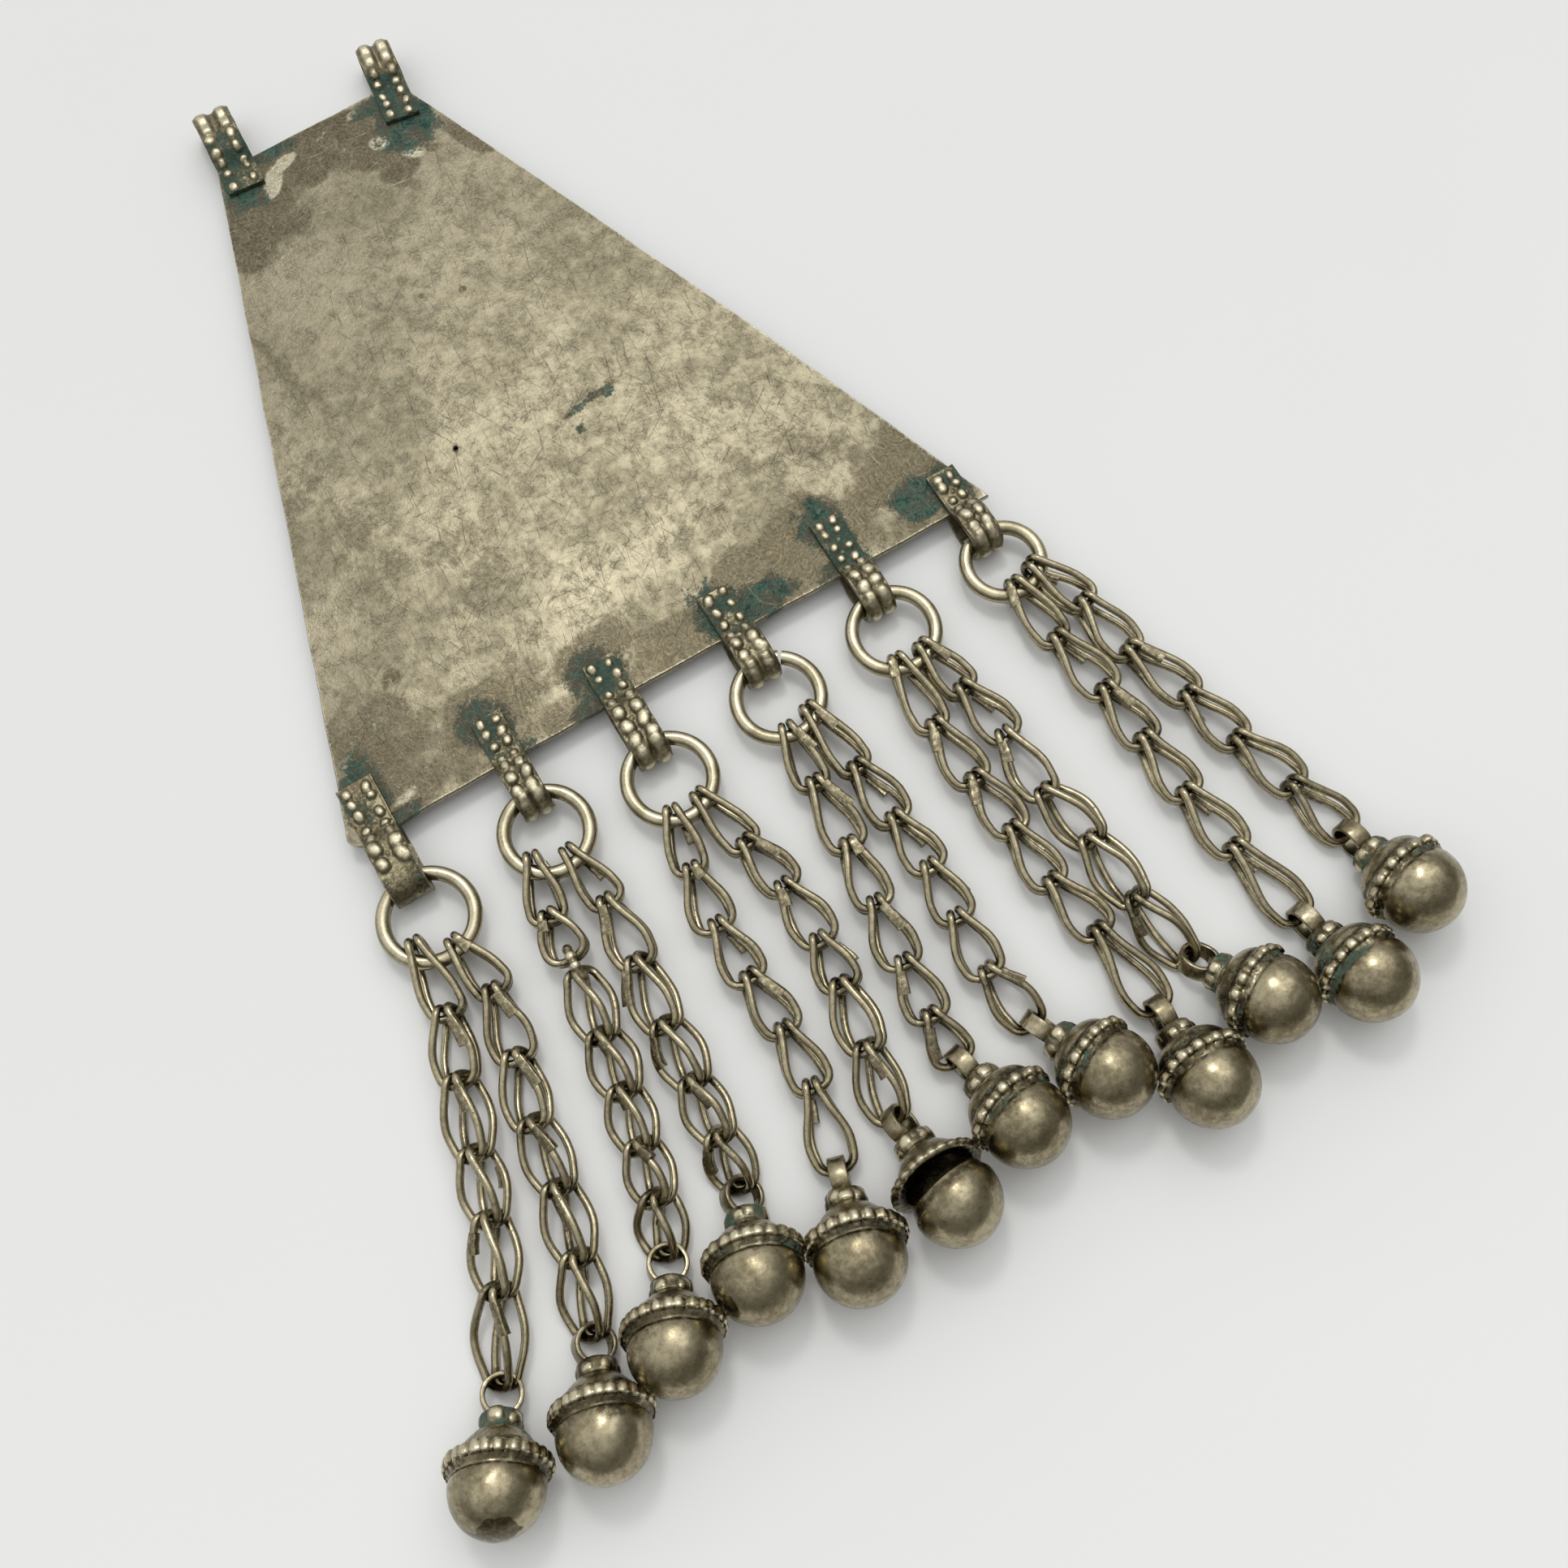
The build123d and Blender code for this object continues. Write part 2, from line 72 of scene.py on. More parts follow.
CHAINS = [
    dict(ring=1, heads=[(-3.1, -1.6), (-3.5, -11.5), (-6.0, -20.0), (-8.5, -29.0), (-10.5, -37.0), (-13.5, -45.0)],
         rolls=[0, 12, 30, 50, 66, 78], bell=(-23.5, -65.0), aim=64),
    dict(ring=1, heads=[(1.2, -4.0), (2.8, -12.0), (1.5, -21.0), (-0.5, -29.5), (-1.5, -38.0), (-3.5, -46.5)],
         rolls=[0, 5, 20, 36, 50, 62], bell=(-10.0, -66.2), aim=72),
    dict(ring=2, heads=[(-3.2, -1.6), (-5.0, -9.5), (-5.3, -18.4), (-6.5, -26.5), (-7.5, -34.0), (-9.0, -41.0),
                        (-10.3, -47.5)],
         rolls=[0, 8, 75, 80, 80, 80, 82], bell=(-17.0, -64.5), aim=68),
    dict(ring=2, heads=[(1.0, -3.2), (2.3, -11.5), (2.0, -20.5), (1.0, -29.5), (0.5, -37.5), (0.0, -44.9)],
         rolls=[0, 8, 24, 40, 50, 60], bell=(-4.5, -62.5), aim=72),
    dict(ring=3, heads=[(-1.8, -3.5), (-3.5, -11.5), (-4.5, -19.5), (-4.5, -27.5), (-4.0, -35.5), (-4.5, -43.5)],
         rolls=[5, 5, 0, -8, -5, 5], bell=(-10.5, -65.0), aim=72),
    dict(ring=3, heads=[(1.9, -3.4), (4.0, -12.0), (5.5, -19.5), (6.0, -28.0), (5.5, -34.5), (4.0, -43.0)],
         rolls=[0, -5, 5, 10, 20, 30], bell=(2.7, -64.0), aim=92),
    dict(ring=4, heads=[(-1.2, -3.8), (-2.0, -12.0), (-2.5, -21.5), (-3.5, -30.0), (-4.5, -38.5), (-5.3, -46.0)],
         rolls=[5, 0, -5, 5, 5, 0], bell=(-3.0, -64.0), aim=102),
    dict(ring=4, heads=[(2.4, -2.9), (3.8, -13.0), (4.5, -21.5), (5.0, -29.5), (4.5, -37.0), (4.0, -45.0)],
         rolls=[0, -5, 0, 5, 10, 18], bell=(9.3, -64.5), aim=110),
    dict(ring=5, heads=[(-2.0, -3.2), (-2.5, -13.5), (-2.0, -22.5), (-1.5, -31.0), (-1.0, -39.5), (0.5, -48.0)],
         rolls=[0, 0, -5, 0, 5, 0], bell=(1.0, -72.0), aim=88),
    dict(ring=5, heads=[(1.8, -3.3), (3.5, -11.0), (5.0, -19.5), (5.0, -29.0), (6.5, -37.5), (7.0, -47.0)],
         rolls=[0, 5, 18, 32, 44, 56], bell=(13.5, -67.5), aim=114),
    dict(ring=6, heads=[(-0.8, -3.0), (0.0, -12.5), (1.5, -22.0), (2.0, -30.5), (2.5, -39.5), (3.5, -49.0)],
         rolls=[5, 5, 0, 0, 5, 0], bell=(7.0, -72.5), aim=97),
    dict(ring=6, heads=[(2.6, -1.9), (6.0, -10.0), (7.5, -19.0), (10.5, -28.5), (12.5, -37.0), (15.0, -46.0)],
         rolls=[0, -5, 0, 5, 5, 0], bell=(19.0, -66.5), aim=98),
]

# Solder laps of the links: link number from the ring, side of the link (1 right of its run, -1 left),
# distance of the lap from the head, its length, and whether it lies on the upper or lower wire
LAPS = {
    1: [(2, 1, 1.6, 4.2, 1), (3, 1, 1.4, 3.6, 1), (4, 1, 3.0, 3.0, -1), (5, -1, 1.8, 2.6, 1), (6, 1, 1.4, 4.0, 1)],
    2: [(1, 1, 0.4, 2.4, 1), (2, 1, 1.2, 3.8, 1), (3, 1, 1.2, 4.4, 1), (4, 1, 1.5, 3.8, 1), (5, 1, 1.6, 4.6, 1),
        (6, -1, 2.0, 3.0, -1)],
    3: [(1, 1, 1.0, 3.0, -1), (2, -1, 0.8, 1.6, 1), (4, 1, 1.6, 2.2, 1), (5, 1, 1.2, 2.0, 1), (6, 1, 1.2, 2.0, 1),
        (7, -1, 2.0, 2.5, -1)],
    4: [(1, 1, 2.6, 3.2, -1), (2, -1, 1.2, 3.8, 1), (3, -1, 1.4, 4.4, 1), (4, -1, 1.4, 4.2, 1), (5, 1, 1.4, 3.6, 1),
        (6, -1, 1.6, 3.4, 1)],
    5: [(1, 1, 1.8, 3.2, -1), (2, 1, 0.6, 1.8, 1), (3, 1, 2.0, 3.2, -1), (4, 1, 1.6, 3.6, 1), (6, -1, 2.0, 3.0, -1)],
    6: [(1, 1, 1.8, 4.2, -1), (2, 1, 1.6, 3.4, 1), (3, -1, 1.0, 2.4, 1), (4, 1, 2.0, 3.0, -1), (6, 1, 1.6, 3.4, 1)],
    7: [(1, 1, 1.4, 3.4, 1), (2, 1, 1.4, 4.6, 1), (3, 1, 0.4, 2.2, 1), (4, 1, 1.4, 4.0, 1), (5, -1, 1.6, 3.0, 1),
        (6, -1, 2.0, 4.4, 1)],
    8: [(1, 1, 1.6, 3.4, 1), (2, 1, 2.2, 3.4, -1), (3, 1, 1.8, 3.8, -1), (4, 1, 2.0, 3.8, -1), (6, 1, 1.6, 3.0, 1)],
    9: [(1, -1, 0.8, 2.2, 1), (2, -1, 1.2, 3.0, 1), (3, -1, 1.0, 3.4, 1), (4, 1, 2.0, 3.0, -1), (6, 1, 2.2, 2.6, -1)],
    10: [(1, 1, 1.6, 2.8, 1), (2, 1, 2.0, 3.4, -1), (3, -1, 1.6, 3.0, 1), (5, 1, 1.8, 3.0, -1), (6, -1, 2.0, 3.0, 1)],
    11: [(1, -1, 1.0, 2.6, 1), (2, 1, 1.8, 3.4, -1), (3, 1, 1.4, 3.4, 1), (5, 1, 1.8, 2.8, -1), (6, 1, 1.6, 3.0, -1)],
    12: [(1, 1, 1.6, 3.2, -1), (3, 1, 1.6, 3.4, 1), (4, -1, 1.6, 3.0, -1), (6, 1, 2.0, 3.0, -1)],
}

# Half the height of a link's hooked head as the wire really springs
HOOP = 1.9
# How far a link seems to roll at most, because a link on its side springs back toward flat
ROLL_MOST = 38
# Spacing of a strip's rows of beads, and how far before a bail's bend they give way to long lobes
BEAD_PITCH, LOBE_LONG = 1.95, 4.4
# A solder lap: sections along it, its width at both ends, thickness and rounding
LAP_STATIONS, LAP_START, LAP_END, LAP_THICK, LAP_ROUND = 14, 1.25, 1.6, 0.95, 0.22
# How much thicker than new wire a link's worn and uneven wire shows, and the points round it and the tie
WIRE_SWELL, WIRE_FACETS, TIE_FACETS = 0.11, 12, 14
# Each bell's tilt in degrees, resting on its girdle and collar, then the girdle's radius over its beads and
# the gap under them
TILTS = (29, 29, 31, 30, 26, 25, 25, 27, 25, 30, 26, 27)
GIRDLE_OUT, BELL_GAP = 6.12, 0.08
# Where a bell's strip eye is bent up from the collar, and how far below level it then points, in degrees
EYE_ROOT, EYE_DIP = 8.2, 14
# How far the caps of the rounder bells bulge, and the first of these bells
ROUND_CAP, FIRST_ROUND = 1.0, 7
# The lowest that a link or a bell reaches, over the floor
LINK_LIFT, BELL_LIFT = 0.03, 0.02
# Points round a bell, the spacing of its stations, and half a girdle bead's length along the bell's axis
BELL_TURNS, BELL_PITCH, GIRDLE_BEAD = 156, 0.23, 1.05
# The marks that each mesh carries from 0 to 1 for its metal to show: stains and painted shade, verdigris, wear and
# painted highlights
MARKS = ("stain", "verdigris", "worn")

# Numbers that follow from the named ones, as in the solids
for place, row in enumerate(HANGERS):
    row["x"] = HANGER_FIRST + HANGER_PITCH * place + row["nudge"]
plate_mid_z = EYE_HALF + STRIP_THICK / 2
plate_back_z = plate_mid_z + PLATE_THICK / 2
leg_rise = (PLATE_THICK + STRIP_THICK) / 2
ring_z = plate_mid_z + RING_LIFT
chain_z = ARCH + WIRE / 2 + FLOOR_CLEAR
head_half = (WIRE + HEAD_CLEAR) / 2
tail_rise = (WIRE + TAIL_CLEAR) / 2
hook = WIRE + HOOK_CLEAR
bend_r = EYE_HALF - 0.01
eye_mid = EYE_R - EYE_THICK / 2
tail_in = (EYE_THICK + WIRE) / 2 + EYE_CLEAR
tie_hook = (TIE_WIRE + WIRE) / 2 + TIE_CLEAR
girdle_r = sqrt(BELL_R**2 - GIRDLE_X**2) + FLANGE


# ---------------------------------------------------------------- helpers
def unit(v):
    """The same direction at length 1."""
    v = np.asarray(v, float)
    return v / np.linalg.norm(v)


def level(angle):
    """Unit vector in the floor plane."""
    return np.array((cos(radians(angle)), sin(radians(angle)), 0.0))


def rolled(along, roll):
    """Axes of a plane with its X along the given direction, turned about it by the roll, as rows."""
    x = unit(along)
    side = unit(np.cross((0, 0, 1), x))
    up = np.cross(x, side)
    z = up * cos(radians(roll)) - side * sin(radians(roll))
    return np.array((x, np.cross(z, x), z))


def wobble(points, grain, seed):
    """Smooth noise from -1 to 1 at each point, its lumps about one grain across."""
    lattice = np.random.default_rng(seed).uniform(-1, 1, (32, 32, 32))
    q = np.asarray(points, float) / grain + 100.0
    low = np.floor(q).astype(int)
    f = q - low
    f = f * f * (3 - 2 * f)
    total = np.zeros(len(q))
    for dx in (0, 1):
        for dy in (0, 1):
            for dz in (0, 1):
                weight = (f[:, 0] if dx else 1 - f[:, 0]) * (f[:, 1] if dy else 1 - f[:, 1])
                weight = weight * (f[:, 2] if dz else 1 - f[:, 2])
                corner = (low + (dx, dy, dz)) % 32
                total += weight * lattice[corner[:, 0], corner[:, 1], corner[:, 2]]
    return total


def step(value, low, high):
    """Smooth step from 0 at low to 1 at high."""
    t = np.clip((value - low) / (high - low), 0, 1)
    return t * t * (3 - 2 * t)


def shaken(points, grain, seed):
    """Smooth noise from -1 to 1 in each of the three directions."""
    return np.column_stack([wobble(points, grain, seed + k) for k in range(3)])


def hump(value, middle, width, power=2):
    """Bell curve of height 1; a higher power makes it flat-topped."""
    return np.exp(-((value - middle) / width) ** power)


def spots(points, rows, edge, seed, grain=3.0, ragged=0.35):
    """Strongest of the soft patches at each point; a row is x, y, half length, half width, turn, strength."""
    rag = wobble(points, grain, seed) * ragged + wobble(points, grain * 0.37, seed + 1) * ragged * 0.6
    best = np.zeros(len(points))
    for x, y, long, wide, turn, strength in rows:
        c, s = cos(radians(turn)), sin(radians(turn))
        dx, dy = points[:, 0] - x, points[:, 1] - y
        far = np.hypot((dx * c + dy * s) / long, (dy * c - dx * s) / wide) + rag
        best = np.maximum(best, strength * (1 - step(far, 1 - edge, 1 + edge)))
    return best


def rounded(points, radii, spacing, close=False):
    """Route of straight runs with tangent arcs at its corners, as evenly spaced points."""
    pts = [np.asarray(p, float) for p in points]
    count = len(pts)
    line = []
    for n in range(count):
        if not close and n in (0, count - 1):
            line.append(pts[n])
            continue
        a, b, c = pts[n - 1], pts[n], pts[(n + 1) % count]
        u, v = unit(a - b), unit(c - b)
        angle = np.arccos(np.clip(u @ v, -1, 1))
        r = radii[n] if close else radii[n - 1]
        back = min(r / tan(angle / 2), 0.499 * np.linalg.norm(a - b), 0.499 * np.linalg.norm(c - b))
        r = back * tan(angle / 2)
        middle = b + unit(u + v) * (r / sin(angle / 2))
        start, end = b + u * back, b + v * back
        e1 = unit(start - middle)
        e2 = unit((end - middle) - ((end - middle) @ e1) * e1)
        sweep = pi - angle
        for k in np.linspace(0, sweep, max(3, int(r * sweep / 0.08))):
            line.append(middle + r * (e1 * cos(k) + e2 * sin(k)))
    return even(np.array(line), spacing, close)


def run_along(line):
    """How far along a line each of its points lies."""
    return np.concatenate(([0], np.cumsum(np.linalg.norm(np.diff(line, axis=0), axis=1))))


def even(line, spacing, close=False):
    """The same line as points at an even spacing."""
    if close:
        line = np.vstack((line, line[:1]))
    run = run_along(line)
    count = max(4, int(round(run[-1] / spacing)))
    at = np.linspace(0, run[-1], count + 1)
    if close:
        at = at[:-1]
    return np.column_stack([np.interp(at, run, line[:, k]) for k in range(3)])


def eased(line, sigma):
    """A closed, evenly spaced line with its kinks drawn out, as a bent wire has none."""
    gap = np.linalg.norm(line - np.roll(line, 1, axis=0), axis=1).mean()
    reach = int(np.ceil(3 * sigma / gap))
    shares = np.exp(-0.5 * (np.arange(-reach, reach + 1) * gap / sigma) ** 2)
    shares /= shares.sum()
    return sum(s * np.roll(line, k, axis=0) for k, s in zip(range(-reach, reach + 1), shares))


def in_scene(name, data):
    """A new object that shows the given data."""
    made = bpy.data.objects.new(name, data)
    bpy.context.scene.collection.objects.link(made)
    return made


def shell(name, points, faces, marks, sharp=None):
    """A mesh from points in millimetres in the plate's frame, with its patina marks as attributes."""
    mesh = bpy.data.meshes.new(name)
    mesh.from_pydata(((points - ORIGIN) * MM).tolist(), [], faces)
    mesh.shade_smooth()
    if sharp:
        mesh.set_sharp_from_angle(angle=radians(sharp))
    for mark in MARKS:
        values = np.asarray(marks.get(mark, np.zeros(len(points))), np.float32)
        mesh.attributes.new(mark, "FLOAT", "POINT").data.foreach_set("value", values)
    return mesh


def add_piece(name, points, faces, marks, slot, metal, nodes=(), sharp=None):
    """A finished piece that rides on the pendant and takes the place of the named nodes."""
    mesh = shell(name, points, faces, marks, sharp)
    mesh.materials.append(metal)
    piece = in_scene(name, mesh)
    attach(piece, "root")
    if nodes:
        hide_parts(*nodes)
    return piece


def tube_faces(rows, across, ends=True):
    """Faces of a tube of rows of points, and its two end discs if it is closed off."""
    faces = []
    for r in range(rows - 1):
        a, b = r * across, (r + 1) * across
        for k in range(across):
            m = (k + 1) % across
            faces.append((a + k, a + m, b + m, b + k))
    if ends:
        faces.append(tuple(reversed(range(across))))
        faces.append(tuple(range((rows - 1) * across, rows * across)))
    return faces


def joined(parts):
    """Several shells as one set of points, faces and marks."""
    points, faces, marks, base = [], [], {}, 0
    for pts, fcs, mks in parts:
        points.append(pts)
        faces += [tuple(base + k for k in face) for face in fcs]
        for mark in MARKS:
            marks.setdefault(mark, []).append(np.broadcast_to(mks.get(mark, 0.0), (len(pts),)))
        base += len(pts)
    return np.vstack(points), faces, {mark: np.concatenate(rows) for mark, rows in marks.items()}


def swept(line, sides, section, closed=False):
    """A tube along a line: at each point the section's (across, up) pairs, across along the given side."""
    line = np.asarray(line, float)
    if closed:
        run = np.roll(line, -1, axis=0) - np.roll(line, 1, axis=0)
    else:
        run = np.gradient(line, axis=0)
    run /= np.linalg.norm(run, axis=1)[:, None]
    side = np.broadcast_to(np.asarray(sides, float), line.shape)
    side = side - (side * run).sum(1)[:, None] * run
    side = side / np.linalg.norm(side, axis=1)[:, None]
    up = np.cross(run, side)
    section = np.asarray(section, float)
    if section.ndim == 2:
        section = np.broadcast_to(section, (len(line),) + section.shape)
    points = line[:, None, :] + section[:, :, :1] * side[:, None, :] + section[:, :, 1:] * up[:, None, :]
    count = section.shape[1]
    faces = tube_faces(len(line), count, ends=not closed)
    if closed:
        last = (len(line) - 1) * count
        faces += [(last + k, last + (k + 1) % count, (k + 1) % count, k) for k in range(count)]
    return points.reshape(-1, 3), faces


def flat_section(wide, thick, round_off, steps=3):
    """A rounded rectangle as (across, up) pairs."""
    pairs = []
    for sx, sy, start in ((1, 1, 0), (-1, 1, 90), (-1, -1, 180), (1, -1, 270)):
        for k in range(steps):
            a = radians(start + 90 * k / (steps - 1))
            pairs.append((sx * (wide / 2 - round_off) + round_off * cos(a),
                          sy * (thick / 2 - round_off) + round_off * sin(a)))
    return np.array(pairs)


# ---------------------------------------------------------------- materials
def srgb(code):
    """sRGB hex as the linear colour that a shader takes."""
    parts = [int(code[k:k + 2], 16) / 255 for k in (1, 3, 5)]
    return [p / 12.92 if p <= 0.04045 else ((p + 0.055) / 1.055) ** 2.4 for p in parts] + [1.0]


NOISE, MATH, MIX, RANGE, VECTOR = ("ShaderNode" + kind for kind in ("TexNoise", "Math", "Mix", "MapRange",
                                                                    "VectorMath"))


def add_node(tree, kind, inputs=None, out=0, **settings):
    """Adds a node with its settings; each input is a value or the socket that feeds it.
    Gives the named or numbered output, or the node itself where out is None."""
    node = tree.nodes.new(kind)
    for key, value in settings.items():
        setattr(node, key, value)
    for key, value in (inputs or {}).items():
        if isinstance(value, bpy.types.NodeSocket):
            tree.links.new(value, node.inputs[key])
        else:
            node.inputs[key].default_value = value
    return node if out is None else node.outputs[out]


def scratches(tree, mm, lines):
    """Layers of tone and reliefs of scratches: noise drawn out along each direction, of which the crests show."""
    layers, reliefs = [], []
    for turn, gap_mm, rarity, light in lines:
        turned = add_node(tree, "ShaderNodeVectorRotate", {"Vector": mm, "Angle": radians(-turn)},
                          rotation_type="Z_AXIS")
        stretched = add_node(tree, VECTOR,
                             {0: turned, 1: (0.03 / gap_mm, 1 / gap_mm, 0.2 / gap_mm)}, operation="MULTIPLY")
        streak = add_node(tree, NOISE,
                          {"Vector": stretched, "Scale": 1.0, "Detail": 3.0, "Roughness": 0.65})
        thin = add_node(tree, RANGE,
                        {"Value": streak, "From Min": 1 - rarity, "From Max": 1 - rarity + 0.05})
        layers.append((add_node(tree, MATH, {0: thin, 1: 0.32}, operation="MULTIPLY"), srgb(light)))
        reliefs.append((thin, -0.35))
    return layers, reliefs


def sheet_marks(tree, mm, mottle, stained, clean, stain, worn, hair):
    """Layers of tone and reliefs of old rolled sheet: a broken web of light hairlines, short dark worm-like
    marks, and in the stains pale rings where drops dried."""
    bent = add_node(tree, NOISE, {"Vector": mm, "Scale": 0.9, "Detail": 2.0}, "Color")
    bent = add_node(tree, VECTOR, {0: bent, 1: (1.6, 1.6, 1.6), 2: mm}, operation="MULTIPLY_ADD")
    cell = add_node(tree, "ShaderNodeTexVoronoi", {"Vector": bent, "Scale": 0.55}, "Distance",
                    feature="DISTANCE_TO_EDGE")
    web = add_node(tree, RANGE,
                   {"Value": cell, "From Min": 0.012, "From Max": 0.045, "To Min": 1.0, "To Max": 0.0})
    broken = add_node(tree, RANGE, {"Value": mottle, "From Min": 0.5, "From Max": 0.6})
    web = add_node(tree, MATH, {0: web, 1: broken}, operation="MULTIPLY")
    shown = add_node(tree, MATH, {0: web, 1: hair}, operation="MULTIPLY")

    worm = add_node(tree, NOISE, {"Vector": mm, "Scale": 1.1, "Detail": 3.0, "Roughness": 0.6})
    worm = add_node(tree, MATH, {0: worm, 1: 0.5, 2: 0.032}, operation="COMPARE")
    spread = add_node(tree, RANGE, {"Value": mottle, "From Min": 0.4, "From Max": 0.62, "To Max": 0.36})
    worm = add_node(tree, MATH, {0: worm, 1: spread}, operation="MULTIPLY")

    pool = add_node(tree, NOISE, {"Vector": mm, "Scale": 0.24, "Detail": 1.0})
    pool = add_node(tree, MATH, {0: pool, 1: 14.0}, operation="MULTIPLY")
    pool = add_node(tree, MATH, {0: pool}, operation="FRACT")
    pool = add_node(tree, RANGE,
                    {"Value": pool, "From Min": 0.0, "From Max": 0.16, "To Min": 0.55, "To Max": 0.0})
    pool = add_node(tree, MATH, {0: pool, 1: stained}, operation="MULTIPLY")
    return [(shown, worn), (worm, stain), (pool, clean)], [(worm, -0.4), (web, -0.7)]


def patinated(name, tones, cloud_mm, speck_mm, rough, pit_mm, lines=(), hair=0.0, contrast=1.0, feather=0.16,
              dotted=0.45):
    """Silver alloy that has tarnished: clouds of tone, specks and pits, dark stains and painted shade, verdigris, and
    worn tops and painted highlights.
    tones: clean, dull, stain and painted shade, deep green, pale green, and wear and painted highlight, as sRGB hex.
    rough: clean, dull.
    lines: scratches, each with its direction, spacing in mm, rarity and tone. hair: strength of the light web.
    feather: how softly a stain ends. dotted: how strongly fine dark dots show."""
    clean, dull, stain, green, pale, worn = (srgb(tone) for tone in tones)
    metal = bpy.data.materials.new(name)
    metal.use_nodes = True
    tree = metal.node_tree
    tree.nodes.clear()
    where = add_node(tree, "ShaderNodeTexCoord", out="Object")
    mm = add_node(tree, VECTOR, {0: where, "Scale": 1 / MM}, operation="SCALE")
    cloud, mottle, speck = (
        add_node(tree, NOISE, {"Vector": mm, "Scale": scale, "Detail": detail, "Roughness": harsh})
        for scale, detail, harsh in ((1 / cloud_mm, 4.0, 0.6), (1 / (cloud_mm * 0.16), 7.0, 0.7),
                                     (1 / speck_mm, 4.0, 0.75)))
    both = add_node(tree, MIX, {0: 0.55, 2: cloud, 3: mottle})
    grain = add_node(tree, MIX, {0: 0.5, 2: speck, 3: mottle})
    marks = {}
    for mark, source, spread in (("stain", mottle, 1.1), ("verdigris", speck, 1.5), ("worn", speck, 0.5)):
        given = add_node(tree, "ShaderNodeAttribute", out="Fac", attribute_name=mark, attribute_type="GEOMETRY")
        ragged = add_node(tree, MATH, {0: source, 1: -0.5}, operation="ADD")
        marks[mark] = add_node(tree, MATH, {0: ragged, 1: spread, 2: given}, operation="MULTIPLY_ADD")

    # Each share: what it follows, from where to where, and its values at those two ends
    shares = {}
    for share, value, low, high, start, end, kind in (
            ("tone", both, 0.5 - 0.13 / contrast, 0.5 + 0.13 / contrast, 0.0, 1.0, "SMOOTHSTEP"),
            ("stain", marks["stain"], 0.46 - feather, 0.46 + feather, 0.0, 1.0, "SMOOTHSTEP"),
            ("verdigris", marks["verdigris"], 0.3, 0.62, 0.0, 1.0, "SMOOTHSTEP"),
            ("worn", marks["worn"], 0.3, 0.62, 0.0, 1.0, "SMOOTHSTEP"),
            ("uneven", grain, 0.42, 0.6, 0.0, 0.75, "LINEAR"),
            ("dots", speck, 0.3, 0.44, dotted, 0.0, "LINEAR"),
            ("grit", grain, 0.43, 0.58, 0.0, 1.0, "LINEAR"),
            ("earthy", mottle, 0.41, 0.58, 0.0, 0.9, "LINEAR")):
        ends = {"Value": value, "From Min": low, "From Max": high, "To Min": start, "To Max": end}
        shares[share] = add_node(tree, RANGE, ends, interpolation_type=kind)
    ground = add_node(tree, MIX, {0: shares["uneven"], 6: stain, 7: dull}, 2, data_type="RGBA")
    bed = add_node(tree, MIX, {0: shares["grit"], 6: green, 7: pale}, 2, data_type="RGBA")
    bed = add_node(tree, MIX, {0: shares["earthy"], 6: bed, 7: stain}, 2, data_type="RGBA")
    polish_and_highlight = add_node(tree, MATH, {0: shares["worn"], 1: 0.85}, operation="MULTIPLY")
    # Tones laid one over the other, and reliefs by their height
    layers = [(shares["tone"], dull), (shares["stain"], ground), (polish_and_highlight, worn), (shares["dots"], stain),
              (shares["verdigris"], bed)]
    reliefs = [(shares["verdigris"], 0.6)]

    added = [scratches(tree, mm, lines)]
    if hair:
        added.append(sheet_marks(tree, mm, mottle, shares["stain"], clean, stain, worn, hair))
    for more_layers, more_reliefs in added:
        layers += more_layers
        reliefs += more_reliefs
    colour = clean
    for share, over in layers:
        colour = add_node(tree, MIX, {0: share, 6: colour, 7: over}, 2, data_type="RGBA")
    height = add_node(tree, MATH, {0: speck, 1: mottle}, operation="ADD")
    for share, rise in reliefs:
        height = add_node(tree, MATH, {0: share, 1: rise, 2: height}, operation="MULTIPLY_ADD")
    gloss = add_node(tree, RANGE, {"Value": shares["tone"], "To Min": rough[0], "To Max": rough[1]})
    for share, over in ((polish_and_highlight, 0.27), (shares["verdigris"], 0.85)):
        gloss = add_node(tree, MIX, {0: share, 2: gloss, 3: over})
    bare = add_node(tree, RANGE, {"Value": shares["verdigris"], "To Min": 1.0, "To Max": 0.1})
    bump = add_node(tree, "ShaderNodeBump", {"Height": height, "Distance": pit_mm * MM, "Strength": 1.0})
    surface = add_node(tree, "ShaderNodeBsdfPrincipled",
                       {"Base Color": colour, "Metallic": bare, "Roughness": gloss, "Normal": bump})
    add_node(tree, "ShaderNodeOutputMaterial", {"Surface": surface}, None)
    return metal


# Alpaca sheet, rolled and long tarnished: warm grey with cloudy mottling, hairline scratches and pits
sheet_metal = patinated(
    "alpaca sheet rolled tarnished", ("#857e6a", "#706a57", "#4c4536", "#13352c", "#477c6c", "#b0a992"),
    cloud_mm=15.0, speck_mm=0.5, rough=(0.31, 0.42), pit_mm=0.04, hair=0.3, feather=0.26,
    lines=((88, 0.32, 0.345, "#4e4838"), (74, 0.3, 0.34, "#423c2e"), (99, 0.35, 0.345, "#b9b29c"),
           (-6, 0.35, 0.34, "#c2bba4"), (36, 0.3, 0.34, "#5a5442"), (118, 0.3, 0.34, "#5a5442")))
# Alpaca strip, stamped with beads and soldered: polished bead tops over a dark ground with green verdigris
strip_metal = patinated(
    "alpaca strip stamped beaded", ("#8f866c", "#655d48", "#3d3728", "#1b3f36", "#4a7a6b", "#c8bfa4"),
    cloud_mm=3.2, speck_mm=0.5, rough=(0.28, 0.42), pit_mm=0.05)
